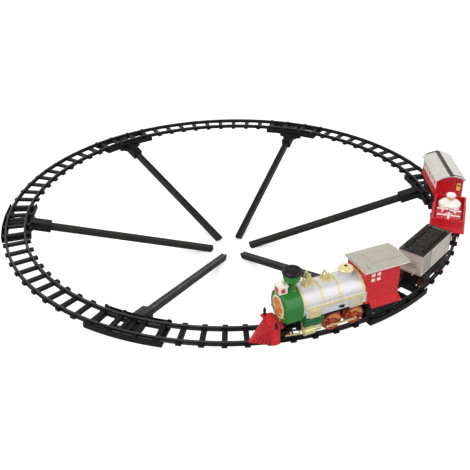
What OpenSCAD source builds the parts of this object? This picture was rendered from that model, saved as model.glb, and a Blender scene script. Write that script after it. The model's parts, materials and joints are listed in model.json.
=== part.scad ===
// Model train set on a round track held by six arms.
// Origin: centre of the track ring, at the height of the rail tops. +Z is up.
// Each vehicle is drawn in its own frame: x forwards, y outwards from the ring, z up from the rail tops.

/* [Track] */
// Radius of the track's centre line
track_r = 432; // [430:0.5:434]
// Distance between the centres of the two rails
gauge = 36; // [35.8:0.1:36.2]
// Height of a rail
rail_h = 7.8; // [7:0.1:8.4]
// Width of a rail's head
rail_head_w = 3; // [2.6:0.1:3.2]
// Width of a rail's foot
rail_foot_w = 5.6; // [5:0.1:6.4]
// Ring angle of the first joint between two sections
joint_angle = 7.7; // [0:0.1:30]
// Sleepers in each section
sleepers = 13; // [13]
// Angle from one sleeper to the next
sleeper_pitch = 4.5; // [4.4:0.05:4.55]
// Length of a sleeper across the track
sleeper_len = 52.2; // [50:0.2:54]
// Width of a sleeper along the track
sleeper_w = 9.4; // [8:0.2:10]
// Thickness of a sleeper
sleeper_h = 4.8; // [4.2:0.1:5.2]

/* [Brackets and arms] */
// Angle that a bracket spans
bracket_span = 17.6; // [17:0.1:18]
// Radius of a bracket's inner face
bracket_in_r = 402.6; // [401:0.2:403]
// Radius of a bracket's outer face
bracket_out_r = 458.8; // [458.4:0.2:462]
// Depth of a bracket's walls
bracket_h = 5.6; // [5:0.2:7]
// Slope of the arms below level
arm_slope = 15; // [14.5:0.1:15.5]
// Width and height of an arm
arm_size = 12; // [11:0.5:12.5]
// Ring radius of the arms' inner ends
arm_inner_r = 40; // [30:1:60]
// Outer width of the socket that holds an arm
socket_w = 20; // [19:0.5:22]
// Length of the socket
socket_len = 37; // [34:1:42]

/* [Locomotive] */
// Ring angle where the locomotive stands
loco_angle = 293.3; // [290:0.1:296]
// Radius of the boiler
boiler_r = 28; // [27.5:0.1:28.4]
// Height of the boiler's axis
boiler_z = 57; // [56.5:0.1:57.5]
// Radius of the smokebox
smokebox_r = 26.5; // [26.2:0.1:26.8]
// Front end of the smokebox
smokebox_front = 108; // [106:0.5:110]
// Joint between the boiler and the smokebox
boiler_front = 79; // [78.5:0.1:79.5]
// Radius of a driving wheel's tread
driver_r = 16; // [15.8:0.1:16]
// Radius of the cranks on the driving wheels
crank_r = 4.5; // [4:0.1:5]
// Half the width of the cab
cab_half_w = 28; // [27.6:0.1:28.4]
// Height of the cab's walls over the rails
cab_top = 95; // [92:0.5:98]
// Diameter of the chimney's cap
chimney_cap_d = 30; // [28:0.5:32]

/* [Wagons] */
// Ring angle where the tender stands
tender_angle = 319.5; // [319:0.1:320]
// Ring angle where the gift wagon stands
gift_angle = 341.5; // [341:0.1:342]
// Ring angle where the passenger coach stands
coach_angle = 359.7; // [359.2:0.1:360.2]
// Radius of a wagon wheel's tread
wheel_r = 12; // [11.6:0.1:12]
// Half the wheelbase of a wagon
half_base = 28; // [26:0.5:30]
// Length of the tender's body
tender_len = 101; // [98:0.5:104]
// Width of the tender's body
tender_w = 43; // [42:0.5:44]
// Height of the tender's rim over the rails
tender_top = 71.5; // [70:0.5:74]
// Length of the gift wagon's body
gift_len = 98; // [94:0.5:102]
// Width of the gift wagon's body
gift_w = 56; // [54:0.5:58]
// Height of the gift wagon's rim over the rails
gift_top = 53; // [51:0.5:56]
// Length of the coach's body
coach_len = 110; // [106:0.5:112]
// Width of the coach's body
coach_w = 53; // [51:0.5:55]
// Height of the coach's eaves over the rails
coach_eave = 68; // [66:0.5:70]

/* [Hidden] */

sections = 6;
section_angle = 360 / sections;
joint_gap = 0.06;                        // angle left open at each end of a section
rail_z = -rail_h;                        // underside of a rail
sleeper_z = rail_z - 0.2;                // the sleepers reach a little below the rails, which run through them
sleeper_shift = -1.3;                    // the sleepers reach further inwards than outwards
bracket_top = sleeper_z;                 // the sleepers rest on the bracket
bracket_bottom = bracket_top - bracket_h;
beam_w = 6;                              // width of a bracket's beams under the rails
rim_t = 1.8;                             // thickness of a bracket's two curved walls
rim_rise = 4.5;                          // how far the curved walls stand above the beams
arm_axis_z = bracket_top - 7.2;          // height of an arm's axis at the bracket's inner face
arm_len = (bracket_in_r - arm_inner_r) / cos(arm_slope);
arm_seat = 4;                            // thickness of the socket's closed end
socket_gap = 0.2;                        // play around an arm in its socket
tie_hole_r = 2.5;                        // hole near an arm's inner end for a tie or a screw
tie_hole_at = arm_len - 90;
bolt_r = 1.7;
bolt_at = 22;

rail_gap = 0.15;                         // play between a tread and the rail
driver_z = driver_r + rail_gap;
driver_rear_x = -15;
driver_front_x = 24;
flange = 1.8;
flange_in = 12.6;                        // wheel widths, measured from the vehicle's centre plane
flange_out = 14.4;
tread_out = 20.6;
axle_r = 1.5;
running = 0.05;                          // radial play of an axle in its bore
pilot_r = 8;
pilot_x = 92;
pilot_angle = loco_angle - asin(pilot_x / track_r);
boiler_rear = -27;
boiler_wall = 2.5;
deck_bottom = 34.5;
deck_top = 37;
deck_half_w = 24;
cab_front = boiler_rear;
cab_rear = -88;
cab_wall = 2;
rod_in = 22.6;                           // inner and outer faces of the coupling rods
rod_out = 24.8;
rod_mid = (rod_in + rod_out) / 2;
crank_phase = -70;                       // angle of the right crank pins, the left ones are a quarter turn on

gear_w = 4;
gear_y = 6;                              // inner face of the gears
drive_teeth = 20;
idler_teeth = 24;
pinion_teeth = 8;
gear_play = 0.15;                        // extra centre distance of each gear pair
idler_x = driver_rear_x;
idler_z = driver_z + (drive_teeth + idler_teeth) / 2 + gear_play;
pinion_angle = 60;                       // direction from the idler to the pinion
pinion_dist = (idler_teeth + pinion_teeth) / 2 + gear_play;
pinion_x = idler_x + pinion_dist * cos(pinion_angle);
pinion_z = idler_z + pinion_dist * sin(pinion_angle);
motor_r = 10;

wheel_z = wheel_r + rail_gap;
body_z = 33;                             // underside of the wagon bodies
coupling_z = 13;
coupling_pin_r = 1.6;
loco_pin_angle = 306.8;
tender_pin_angle = 330.6;
gift_pin_angle = 350.2;
coach_pin_angle = 368.6;

// ---------------------------------------------------------------- shared forms

// Places children on the track at a ring angle, facing along it
module on_track(ring_angle) {
  rotate([0, 0, ring_angle - 90]) translate([0, track_r, 0]) children();
}

// Places children in an arm's frame: x along the arm towards the centre, z square to its top
module in_arm_frame(ring_angle) {
  rotate([0, 0, ring_angle]) translate([bracket_in_r, 0, arm_axis_z])
    rotate([0, -arm_slope, 0]) rotate([0, 0, 180]) children();
}

// Box centred across y
module slab(x0, x1, half_y, z0, z1) {
  translate([x0, -half_y, z0]) cube([x1 - x0, 2 * half_y, z1 - z0]);
}

// Box on both sides of the centre plane
module side_slabs(x0, x1, y0, y1, z0, z1) {
  for (s = [-1, 1])
    translate([x0, s > 0 ? y0 : -y1, z0]) cube([x1 - x0, y1 - y0, z1 - z0]);
}

// Cylinder along x
module rod_x(x0, x1, r, y, z, fn = 48) {
  translate([x0, y, z]) rotate([0, 90, 0]) cylinder(r = r, h = x1 - x0, $fn = fn);
}

// Cylinder along y
module rod_y(y0, y1, r, x, z, fn = 48) {
  translate([x, y1, z]) rotate([90, 0, 0]) cylinder(r = r, h = y1 - y0, $fn = fn);
}

// Solid turned about the x axis at height z, its profile given as [radius, x] points
module turned_x(points, z, fn = 72) {
  translate([0, 0, z]) rotate([0, 90, 0]) rotate_extrude($fn = fn) polygon(points);
}

// Solid turned about the y axis, its profile given as [radius, y] points
module turned_y(points, x, z, fn = 72) {
  translate([x, 0, z]) rotate([-90, 0, 0]) rotate_extrude($fn = fn) polygon(points);
}

// Box with rounded corners seen from above
module rounded_box(x0, x1, half_y, z0, z1, r) {
  translate([0, 0, z0]) linear_extrude(z1 - z0) hull()
    for (x = [x0 + r, x1 - r], y = [-half_y + r, half_y - r]) translate([x, y]) circle(r, $fn = 32);
}

// Piece of a ring about the origin, between two angles
module arc_band(r0, r1, a0, a1, z0, z1) {
  rotate([0, 0, a0]) rotate_extrude(angle = a1 - a0, $fn = 180)
    translate([r0, z0]) square([r1 - r0, z1 - z0]);
}

// Outline of a gear of module 1 with its first tooth at an angle
module gear_outline(teeth, first) {
  root = teeth / 2 - 1.15;
  tip = teeth / 2 + 0.75;
  step = 360 / teeth;
  polygon([for (i = [0 : teeth - 1], k = [0 : 3])
    let (a = first + i * step + [-0.27, -0.11, 0.11, 0.27][k] * step, r = k == 0 || k == 3 ? root : tip)
    [r * cos(a), r * sin(a)]]);
}

// Gear whose axis lies along y
module gear_y(teeth, first, x, z) {
  translate([x, gear_y + gear_w, z]) rotate([90, 0, 0]) linear_extrude(gear_w) gear_outline(teeth, first);
}

// Half profile of a wheelset, from its centre plane outwards
function wheel_profile(r, rim, hub) = [
  [0, 0], [axle_r, 0], [axle_r, flange_in], [r + flange - 0.6, flange_in], [r + flange, flange_in + 0.6],
  [r + flange, flange_out - 0.5], [r, flange_out], [r - 0.3, tread_out - 0.4], [r - 0.8, tread_out],
  [r - rim, tread_out], [r - rim - 0.8, tread_out - 1.8], [hub + 0.8, tread_out - 1.8],
  [hub, tread_out + 0.3], [0, tread_out + 0.3]
];

// Pair of wheels on an axle along y
module wheel_pair(r, rim, hub, x, z) {
  turned_y(wheel_profile(r, rim, hub), x, z);
  mirror([0, 1, 0]) turned_y(wheel_profile(r, rim, hub), x, z);
}

// Bore for an axle along y
module axle_bore(x, z, half_y) {
  rod_y(-half_y, half_y, axle_r + running, x, z);
}

// Coupling pin at a ring angle, on a curved bar that ends a vehicle's frame
module coupling_tail(bar_from, pin_angle) {
  arc_band(track_r - 3.5, track_r + 3.5, bar_from, pin_angle, coupling_z - 4.8, coupling_z - 2.2);
  rotate([0, 0, pin_angle]) translate([track_r, 0, coupling_z - 5]) {
    cylinder(r = 4.6, h = 3, $fn = 40);
    cylinder(r = coupling_pin_r, h = 10, $fn = 40);
  }
}

// Curved drawbar with an eye that drops over the pin of the vehicle ahead
module drawbar(pin_angle, bar_to) {
  difference() {
    union() {
      arc_band(track_r - 3, track_r + 3, pin_angle, bar_to, coupling_z - 1.5, coupling_z + 0.6);
      rotate([0, 0, pin_angle]) translate([track_r, 0, coupling_z - 1.7]) cylinder(r = 4.4, h = 2.5, $fn = 40);
    }
    rotate([0, 0, pin_angle]) translate([track_r, 0, 0]) cylinder(r = coupling_pin_r + 0.4, h = 40, $fn = 40);
  }
}

// ---------------------------------------------------------------- track

rail_profile = [
  [-rail_foot_w / 2, 0], [rail_foot_w / 2, 0], [rail_foot_w / 2, 1.2], [1, 2.4], [1, rail_h - 2.4],
  [rail_head_w / 2, rail_h - 1.8], [rail_head_w / 2, rail_h], [-rail_head_w / 2, rail_h],
  [-rail_head_w / 2, rail_h - 1.8], [-1, rail_h - 2.4], [-1, 2.4], [-rail_foot_w / 2, 1.2]
];

module track_section(number) {
  tie_z = sleeper_z + 1.1;
  start = joint_angle + (number - 1) * section_angle;
  end = start + section_angle;
  first_sleeper = (section_angle - (sleepers - 1) * sleeper_pitch) / 2;
  color("#1A1A18") {
    rotate([0, 0, start + joint_gap]) rotate_extrude(angle = section_angle - 2 * joint_gap, $fn = 180)
      for (s = [-1, 1]) translate([track_r + s * gauge / 2, rail_z]) polygon(rail_profile);
    for (i = [0 : sleepers - 1])
      rotate([0, 0, start + first_sleeper + i * sleeper_pitch]) translate([track_r + sleeper_shift, 0, sleeper_z])
        rotate([90, 0, 90]) translate([0, 0, -sleeper_len / 2]) linear_extrude(sleeper_len)
          polygon([[-sleeper_w / 2, 0], [sleeper_w / 2, 0], [sleeper_w / 2 - 0.4, sleeper_h],
            [-sleeper_w / 2 + 0.4, sleeper_h]]);
    // tie bar at each end, with a tongue at one end and two fingers at the other
    arc_band(track_r - 17.7, track_r + 17.7, start + joint_gap + 0.02, start + 1.2, tie_z, tie_z + 2.1);
    arc_band(track_r - 17.7, track_r + 17.7, end - 1.2, end - joint_gap - 0.02, tie_z + 1.4, tie_z + 3.3);
    arc_band(track_r - 5, track_r + 5, start - 1.1, start + 2.7, tie_z - 0.5, tie_z + 1.1);
    for (s = [-1, 1])
      arc_band(track_r + s * 9 - 3, track_r + s * 9 + 3, end - 2.7, end - joint_gap - 0.04, tie_z - 0.3, tie_z + 1.9);
  }
}

// Half of a bracket's cross-section, from a curved wall's face to the far side of a beam
module tray_outline(width) {
  polygon([[0, bracket_bottom], [width, bracket_bottom], [width, bracket_top], [width - beam_w, bracket_top],
    [width - beam_w, bracket_bottom + 2], [rim_t, bracket_bottom + 2], [rim_t, bracket_top + rim_rise],
    [0, bracket_top + rim_rise]]);
}

module track_bracket(number) {
  centre = joint_angle + (number - 1) * section_angle;
  a0 = centre - bracket_span / 2;
  a1 = centre + bracket_span / 2;
  end_w = 1.9;
  mid_w = 3.2;
  rail_in = track_r - gauge / 2;
  rail_out = track_r + gauge / 2;
  color("#1A1A18") difference() {
    union() {
      // tray under each rail: a curved wall, a floor and the beam that carries the sleepers
      rotate([0, 0, a0]) rotate_extrude(angle = a1 - a0, $fn = 180) {
        translate([bracket_in_r, 0]) tray_outline(rail_in + beam_w / 2 - bracket_in_r);
        translate([bracket_out_r, 0]) mirror([1, 0]) tray_outline(bracket_out_r - rail_out + beam_w / 2);
      }
      // cross members: one at each end and two ribs in the middle, with a low web between these
      for (a = [a0 + 0.05, a1 - 0.05 - end_w])
        arc_band(bracket_in_r + 1, bracket_out_r - 1, a, a + end_w, bracket_bottom + 0.2, bracket_top - 0.3);
      for (a = [centre - mid_w / 2, centre + mid_w / 2 - 0.5])
        arc_band(bracket_in_r + 1, bracket_out_r - 1, a, a + 0.5, bracket_bottom + 0.2, bracket_top - 0.3);
      difference() {
        arc_band(bracket_in_r + 1, bracket_out_r - 1, centre - mid_w / 2 + 0.1, centre + mid_w / 2 - 0.1,
          bracket_bottom + 0.4, bracket_bottom + 4);
        rotate([0, 0, centre]) translate([track_r + 4, 0, bracket_bottom - 1]) cylinder(r = 5, h = 10, $fn = 48);
      }
      // clip posts that hold the sleepers' ends
      for (a = [-8.2, -3, 3, 8.2], r = [bracket_in_r + 0.2, bracket_out_r - rim_t + 0.2])
        arc_band(r, r + rim_t - 0.4, centre + a - 0.4, centre + a + 0.4, bracket_bottom + 1, bracket_top + 6.4);
      // socket and its gusset, which stay under the sleepers
      difference() {
        in_arm_frame(centre) {
          slab(-4, socket_len, socket_w / 2, -9, 9);
          translate([0, 0, -5]) linear_extrude(10) difference() {
            translate([-3, -27]) square([19, 54]);
            for (s = [-1, 1]) translate([18, s * 27.5]) circle(17.6, $fn = 64);
          }
        }
        arc_band(bracket_in_r + 0.9, bracket_out_r, a0 - 1, a1 + 1, bracket_top - 0.4, bracket_top + 20);
      }
    }
    in_arm_frame(centre) {
      slab(arm_seat, socket_len + 1, arm_size / 2 + socket_gap, -arm_size / 2 - socket_gap,
        arm_size / 2 + socket_gap);
      translate([bolt_at, 0, -10]) cylinder(r = bolt_r + 0.05, h = 10, $fn = 32);
    }
  }
}

module support_arm(number) {
  centre = joint_angle + (number - 1) * section_angle;
  half = arm_size / 2;
  color("#3A3834") in_arm_frame(centre) difference() {
    translate([arm_seat, 0, 0]) rotate([90, 0, 90]) linear_extrude(arm_len - arm_seat)
      polygon([[-half, -half], [-2.2, -half], [-2.2, -half + 1], [2.2, -half + 1], [2.2, -half], [half, -half],
        [half, half - 0.8], [half - 0.8, half], [2, half], [1.4, half - 1.2], [-1.4, half - 1.2], [-2, half],
        [-half + 0.8, half], [-half, half - 0.8]]);
    // mitred inner end
    translate([arm_len, 0, 0]) rotate([0, 30, 0]) translate([0, -half - 1, -20]) cube([20, arm_size + 2, 40]);
    rod_y(-half - 1, half + 1, tie_hole_r, tie_hole_at, 0);
    translate([bolt_at, 0, -half - 1]) cylinder(r = bolt_r + 0.05, h = 8, $fn = 32);
  }
}

module arm_bolts() {
  color("#8C8C8C") for (i = [0 : sections - 1]) in_arm_frame(joint_angle + i * section_angle)
    translate([bolt_at, 0, -12.2]) difference() {
      union() {
        cylinder(r = 3.4, h = 3.2, $fn = 40);
        cylinder(r = bolt_r, h = 12, $fn = 32);
      }
      translate([-3.6, -0.5, -0.1]) cube([7.2, 1, 1.3]);
    }
}

// ---------------------------------------------------------------- locomotive

module loco_chassis() {
  color("#191918") {
    on_track(loco_angle) difference() {
      union() {
        slab(cab_rear + 2, boiler_front - 0.1, 11.4, 8, deck_bottom);
        slab(cab_rear + cab_wall, boiler_front - 0.1, deck_half_w, deck_bottom, deck_top);
        slab(cab_rear, cab_front, deck_half_w, deck_bottom + 0.2, deck_top);
        slab(boiler_front - 0.1, 104, 9, 19, 36);
        slab(104, 118, 9, 19, 30);
        // side frames under the cab, with a cross plate behind
        side_slabs(cab_rear + 2, -36, 19, 22, 9, deck_bottom);
        slab(cab_rear + 2, cab_rear + 5, 22, 12, deck_bottom);
        // ribs on the side frames
        for (x = [-82, -68, -54, -40]) side_slabs(x, x + 2, 22, 22.8, 11, 31);
        side_slabs(cab_rear + 2, -36, 22, 22.8, 18, 20);
        // lugs that carry the idler gear
        for (y = [gear_y - 2.6, gear_y + gear_w + 0.6])
          translate([idler_x - 4, y, deck_bottom]) cube([8, 2, 7.3]);
        // cradle under the motor
        translate([pinion_x - 6, -15.6, deck_bottom]) cube([12, 14.6, 9]);
        // pivot boss of the pilot truck
        translate([pilot_x, track_r * cos(asin(pilot_x / track_r)) - track_r, 18]) cylinder(r = 5, h = 2, $fn = 40);
        slab(pilot_x - 6, pilot_x + 6, 14, 19, 22);
      }
      rod_x(boiler_front - 1, 110, smokebox_r + 0.02, 0, boiler_z, 120);
      for (x = [driver_rear_x, driver_front_x]) axle_bore(x, driver_z, 12);
      rod_y(0, 14, axle_r + running, idler_x, idler_z);
      rod_y(-22, 6, motor_r, pinion_x, pinion_z, 72);
      translate([idler_x - 15, gear_y - 0.6, 0]) cube([30, gear_w + 1.2, 60]);
      // slot for the switch's wires, and lightening windows through the spine
      slab(-6, 12, 5, 7, 14);
      for (x = [-80, -64, -48]) translate([x, -12, 14]) cube([11, 24, 14]);
    }
    coupling_tail(loco_angle + 10.5, loco_pin_angle);
    arc_band(track_r - 3.8, track_r + 3.8, loco_angle + 10.6, loco_angle + 12.3, coupling_z - 4.6, 13.6);
  }
}

cow_tip = 158;
cow_corner = [124, 20];
cow_wing = 112;
cow_deck = [108.1, 127];
cow_deck_z = 30;
cow_foot_z = [4.6, 1.5];                 // heights of the blade's foot at its tip and at its corners

// Blade of the cowcatcher, shrunk by a margin: its foot rises towards the tip
module cow_wedge(m) {
  corner = [cow_corner[0] - m, cow_corner[1] - m];
  hull() {
    translate([0, 0, cow_foot_z[1]]) linear_extrude(1.5)
      polygon([corner, [cow_wing, corner[1]], [cow_wing, -corner[1]], [corner[0], -corner[1]]]);
    translate([cow_tip - 2.2 * m - 1, -0.5, cow_foot_z[0]]) cube([1, 1, 1.5]);
    translate([0, 0, cow_deck_z]) linear_extrude(1)
      polygon([[cow_deck[1] - m, -12 + m], [cow_deck[1] - m, 12 - m], [cow_wing, 19 - m], [cow_wing, -19 + m]]);
  }
}

// Round bar between two points, with a radius at each
module strut(from, to, r0, r1) {
  d = to - from;
  translate(from) rotate([0, acos(d[2] / norm(d)), atan2(d[1], d[0])])
    cylinder(r1 = r0, r2 = r1, h = norm(d), $fn = 24);
}

module cowcatcher() {
  ribs = 5;
  color("#C8202E") on_track(loco_angle) {
    difference() {
      cow_wedge(0);
      translate([-1, 0, -1]) cow_wedge(2.2);
      slab(100, cow_wing + 8, 9.2, 10, cow_deck_z + 0.001);
      translate([cow_wing - 1, -30, -1]) cube([3, 60, cow_deck_z + 0.99]);
    }
    // deck plate with raised edges
    translate([0, 0, cow_deck_z]) linear_extrude(3)
      polygon([[cow_deck[0], -19], [cow_deck[0], 19], [cow_deck[1], 23], [cow_deck[1], -23]]);
    // ribs that fan out down each side
    for (s = [-1, 1], i = [1 : ribs]) {
      t = i / (ribs + 0.6);
      strut([cow_tip - 1.5 - t * (cow_tip - cow_corner[0]), s * t * cow_corner[1],
        cow_foot_z[0] + 0.5 + t * (cow_foot_z[1] - cow_foot_z[0])],
        [cow_deck[1] - 1.2, s * t * 11, cow_deck_z + 0.4], 1.5, 1);
    }
  }
  color("#1E2420") on_track(loco_angle) for (s = [-1, 1])
    translate([121, s * 20, cow_deck_z + 3]) rotate_extrude($fn = 40)
      polygon([[0, 0], [3, 0], [3, 1.5], [1.8, 2.5], [1.8, 4], [2.6, 6], [2.4, 9], [1, 12.5], [0, 13.5]]);
}

module smokebox() {
  r = smokebox_r;
  color("#2E8B45") on_track(loco_angle) {
    turned_x([[r - 2, boiler_front], [r, boiler_front], [r, smokebox_front - 2], [r - 0.6, smokebox_front - 0.6],
      [r - 2, smokebox_front], [23, smokebox_front], [23, smokebox_front - 2], [0, smokebox_front - 2],
      [0, smokebox_front - 4], [r - 2, smokebox_front - 4]], boiler_z, 120);
    // flat lower sides
    difference() {
      side_slabs(boiler_front, smokebox_front - 1, 20, 26, 41, 54);
      rod_x(boiler_front - 1, smokebox_front, r - 1, 0, boiler_z, 120);
    }
  }
}

module smokebox_door() {
  f = smokebox_front;
  color("#E07A3C") on_track(loco_angle)
    turned_x([[0, f - 2], [22.9, f - 2], [22.9, f + 0.6], [21.5, f + 1.4], [19.5, f + 1.2], [19, f + 0.4],
      [12, f + 2], [6.5, f + 2.6], [6, f + 3.8], [3, f + 4.6], [0, f + 4.8]], boiler_z, 96);
}

lamp_x = [97, 111];
lamp_half = 7.5;
lamp_z = [78, 96];

module headlamp() {
  color("#EFE6D8") on_track(loco_angle) difference() {
    union() {
      slab(lamp_x[0], lamp_x[1], lamp_half, lamp_z[0], lamp_z[1]);
      slab(lamp_x[0] - 1, lamp_x[1] + 1, lamp_half + 1, lamp_z[1] - 2, lamp_z[1]);
      translate([104, 0, lamp_z[1]]) rotate_extrude($fn = 40)
        polygon([[0, 0], [5.5, 0], [5, 1.6], [3, 3], [2.6, 5], [1.2, 6.8], [0, 7]]);
    }
    rod_x(70, 120, smokebox_r, 0, boiler_z, 120);
    rod_x(lamp_x[1] - 3, lamp_x[1] + 3, 5.6, 0, 89);
    for (s = [-1, 1]) translate([100.5, s * lamp_half - 0.6, 84]) cube([7, 1.2, 8]);
  }
}

module headlamp_lens() {
  x = lamp_x[1] - 3;
  color("#D8323A") on_track(loco_angle)
    turned_x([[0, x], [5.6, x], [5.6, x + 3], [5, x + 3.6], [3, x + 4.6], [0, x + 5]], 89, 48);
}

chimney_x = 86.5;
base_r = 10.2;
neck_r = 6;
base_top = 82;
neck_z = 90;
bowl_top = 111.5;

module chimney() {
  r = chimney_cap_d / 2 - 0.8;
  color("#2E8B45") on_track(loco_angle) difference() {
    translate([chimney_x, 0, 0]) rotate_extrude($fn = 72)
      polygon(concat([[0, 76], [base_r, 76], [base_r, base_top]],
        [for (t = [0.2 : 0.2 : 1]) [base_r - (base_r - neck_r) * sin(90 * t),
          base_top + (neck_z - base_top) * (1 - cos(90 * t))]],
        [for (t = [0.2 : 0.2 : 1]) [neck_r + (r - neck_r) * ((1 - cos(90 * t)) * 0.55 + t * 0.45),
          neck_z + (bowl_top - 2 - neck_z) * t]],
        [[r, bowl_top], [r - 2, bowl_top], [4, 95], [0, 95]]));
    rod_x(boiler_front - 5, 120, smokebox_r + 0.02, 0, boiler_z, 120);
    rod_x(70, boiler_front + 0.02, boiler_r + 0.02, 0, boiler_z, 120);
  }
}

module chimney_cap() {
  r = chimney_cap_d / 2;
  z = bowl_top;
  color("#1C1C1B") on_track(loco_angle) translate([chimney_x, 0, 0]) rotate_extrude($fn = 72)
    polygon([[0, z], [r - 0.4, z], [r, z + 0.8], [r + 0.2, z + 2.6], [r - 0.4, z + 4.6], [r - 2, z + 6],
      [r - 4, z + 6.2], [r - 5, z + 5.2], [6, z + 4.6], [5, z + 5.4], [2, z + 6], [0, z + 6]]);
}

skirt_y = [29.2, 31];
skirt_z = [45, 62];
board_end = 76;
switch_x = 17;
switch_z = 50;

module boiler() {
  r = boiler_r;
  color("#D8D5D6") on_track(loco_angle) difference() {
    union() {
      rod_x(boiler_rear, boiler_front, r, 0, boiler_z, 120);
      slab(boiler_rear, board_end, skirt_y[1], skirt_z[1] - 2, skirt_z[1]);
      side_slabs(boiler_rear, board_end, skirt_y[0], skirt_y[1], skirt_z[0], skirt_z[1]);
      for (x = [-26, -4, 34, 50, 74]) side_slabs(x, x + 1.5, 26, skirt_y[1], 50, skirt_z[1]);
    }
    rod_x(boiler_rear - 1, boiler_front + 1, r - boiler_wall, 0, boiler_z, 120);
    translate([-60, -26, 0]) cube([200, 52, deck_top]);
    // slot for the switch
    translate([switch_x - 5, 27, switch_z - 2.5]) cube([10, 8, 5]);
  }
}

// Bell in its triangular frame, standing on the boiler
module bell_frame(x, h) {
  z = boiler_z + boiler_r;
  difference() {
    union() {
      for (s = [-1, 1]) translate([x, s * 4.6 + 0.9, z]) rotate([90, 0, 0]) linear_extrude(1.8)
        difference() {
          polygon([[-7.5, -3], [7.5, -3], [7.5, 0], [1.6, h], [-1.6, h], [-7.5, 0]]);
          polygon([[-4.2, 1], [4.2, 1], [0.6, h - 4.5], [-0.6, h - 4.5]]);
        }
      slab(x - 8, x + 8, 7.5, z - 3, z + 0.7);
    }
    rod_x(x - 20, x + 20, boiler_r, 0, boiler_z, 120);
  }
  translate([x, 0, z + h - 12]) rotate_extrude($fn = 36)
    polygon([[0, 1.5], [3.4, 0], [3.7, 0.6], [2.6, 3], [2.2, 6], [1.2, 7.4], [1.2, 8.6], [0, 8.6]]);
  rod_y(-4, 4, 1, x, z + h - 2.6, 24);
}

module boiler_trim() {
  color("#D9C878") on_track(loco_angle) {
    // bands round the boiler, above the running boards
    difference() {
      for (x = [boiler_rear, 14, 44, boiler_front - 4])
        turned_x([[boiler_r, x], [boiler_r + 1, x + 0.6], [boiler_r + 1, x + 3.4], [boiler_r, x + 4]], boiler_z, 120);
      translate([-60, -40, 0]) cube([200, 80, skirt_z[1]]);
    }
    // edges of the running boards
    side_slabs(boiler_rear, board_end, skirt_y[1], skirt_y[1] + 1, skirt_z[1] - 2.5, skirt_z[1] + 0.6);
    // steps in front of the cab
    for (x = [-20, 1]) side_slabs(x, x + 2, skirt_y[1], skirt_y[1] + 1.4, 43, skirt_z[1] - 2.5);
    for (z = [43, 49, 55]) side_slabs(-20, 3, skirt_y[1], skirt_y[1] + 1.8, z, z + 1.8);
    // air pumps
    side_slabs(54, 72, skirt_y[1], skirt_y[1] + 2.6, 45, skirt_z[1] - 2.5);
    side_slabs(56, 70, skirt_y[1] + 2.6, skirt_y[1] + 3.4, 47, 57);
    bell_frame(60, 20);
    bell_frame(28.5, 13);
  }
}

module steam_dome() {
  color("#D8D5D6") on_track(loco_angle) difference() {
    translate([-6, 0, 0]) rotate_extrude($fn = 64)
      polygon([[0, 78], [10.5, 78], [10.5, 90], [11, 91], [12.4, 92.5], [12.4, 94], [11, 95.6], [7, 97],
        [3, 97.4], [2.6, 98.6], [0, 99]]);
    rod_x(-30, 20, boiler_r, 0, boiler_z, 120);
  }
}

module steam_chests() {
  color("#1F6B38") on_track(loco_angle) {
    difference() {
      side_slabs(46, 78.8, deck_half_w, skirt_y[1], 29, 44);
      rod_x(40, 90, boiler_r + 0.02, 0, boiler_z, 120);
    }
    side_slabs(48, 77, skirt_y[1], skirt_y[1] + 0.8, 31, 36);
    side_slabs(48, 77, skirt_y[1], skirt_y[1] + 0.8, 38, 43);
  }
}

cyl_y = 24.6;
cyl_z = 17;
cyl_r = 7;

module cylinders() {
  color("#D9C878") on_track(loco_angle) for (s = [-1, 1]) {
    // cylinder, its two covers and the saddle up to the steam chest
    rod_x(62, 76, cyl_r, s * cyl_y, cyl_z, 64);
    rod_x(60.6, 62.2, cyl_r + 0.3, s * cyl_y, cyl_z, 64);
    rod_x(75.8, 77.4, cyl_r + 0.3, s * cyl_y, cyl_z, 64);
    rod_x(77.2, 78.6, 3, s * cyl_y, cyl_z, 40);
    difference() {
      translate([63, s > 0 ? 11.4 : -29, 19]) cube([12, 17.6, 10]);
      rod_x(60, 80, cyl_r - 0.1, s * cyl_y, cyl_z, 64);
    }
    // piston rod between two slide bars
    rod_x(46.4, 61, 1.3, s * rod_mid, cyl_z, 32);
    for (z = [11.6, 20.6]) translate([46, s * rod_mid - 1.2, z]) cube([15.4, 2.4, 1.4]);
    translate([46, s * rod_mid - 1.2, 12]) cube([1.6, 2.4, 9.4]);
  }
}

module cab() {
  h = cab_half_w;
  skirt_top = 41;
  color("#C8202E") on_track(loco_angle) {
    difference() {
      rounded_box(cab_rear, cab_front, h, deck_top, cab_top, 2);
      translate([cab_rear + cab_wall, -h + cab_wall, deck_top - 1])
        cube([cab_front - cab_rear - 2 * cab_wall, 2 * (h - cab_wall), 100]);
      // window panes pressed into each side, four small ones and a blank panel
      for (s = [-1, 1], x = [-36, -46], z = [76, 85])
        translate([x - 6, s * h - 0.6, z]) cube([7, 1.2, 6]);
      // doorway in the back, and a notch in front for the idler gear
      translate([cab_rear - 1, -9, deck_top - 1]) cube([4, 18, 42]);
      translate([cab_front - cab_wall - 1, gear_y - 1.5, deck_top - 1]) cube([cab_wall + 2, gear_w + 3, 11]);
    }
    // flared skirt below the side walls
    difference() {
      hull() {
        slab(cab_rear, cab_front - 8, h, skirt_top - 1, skirt_top);
        slab(cab_rear - 5, cab_front - 11, h + 4, 28, 30);
      }
      hull() {
        slab(cab_rear + 1, cab_front, h - 2, skirt_top - 1, skirt_top + 1);
        slab(cab_rear - 4, cab_front, h + 2.4, 27, 30);
      }
      slab(cab_rear - 1, cab_front + 1, deck_half_w + 0.2, 20, deck_top + 10);
    }
    side_slabs(cab_rear, cab_front, h - 2, h, skirt_top - 1, deck_top + 5);
  }
}

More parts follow.
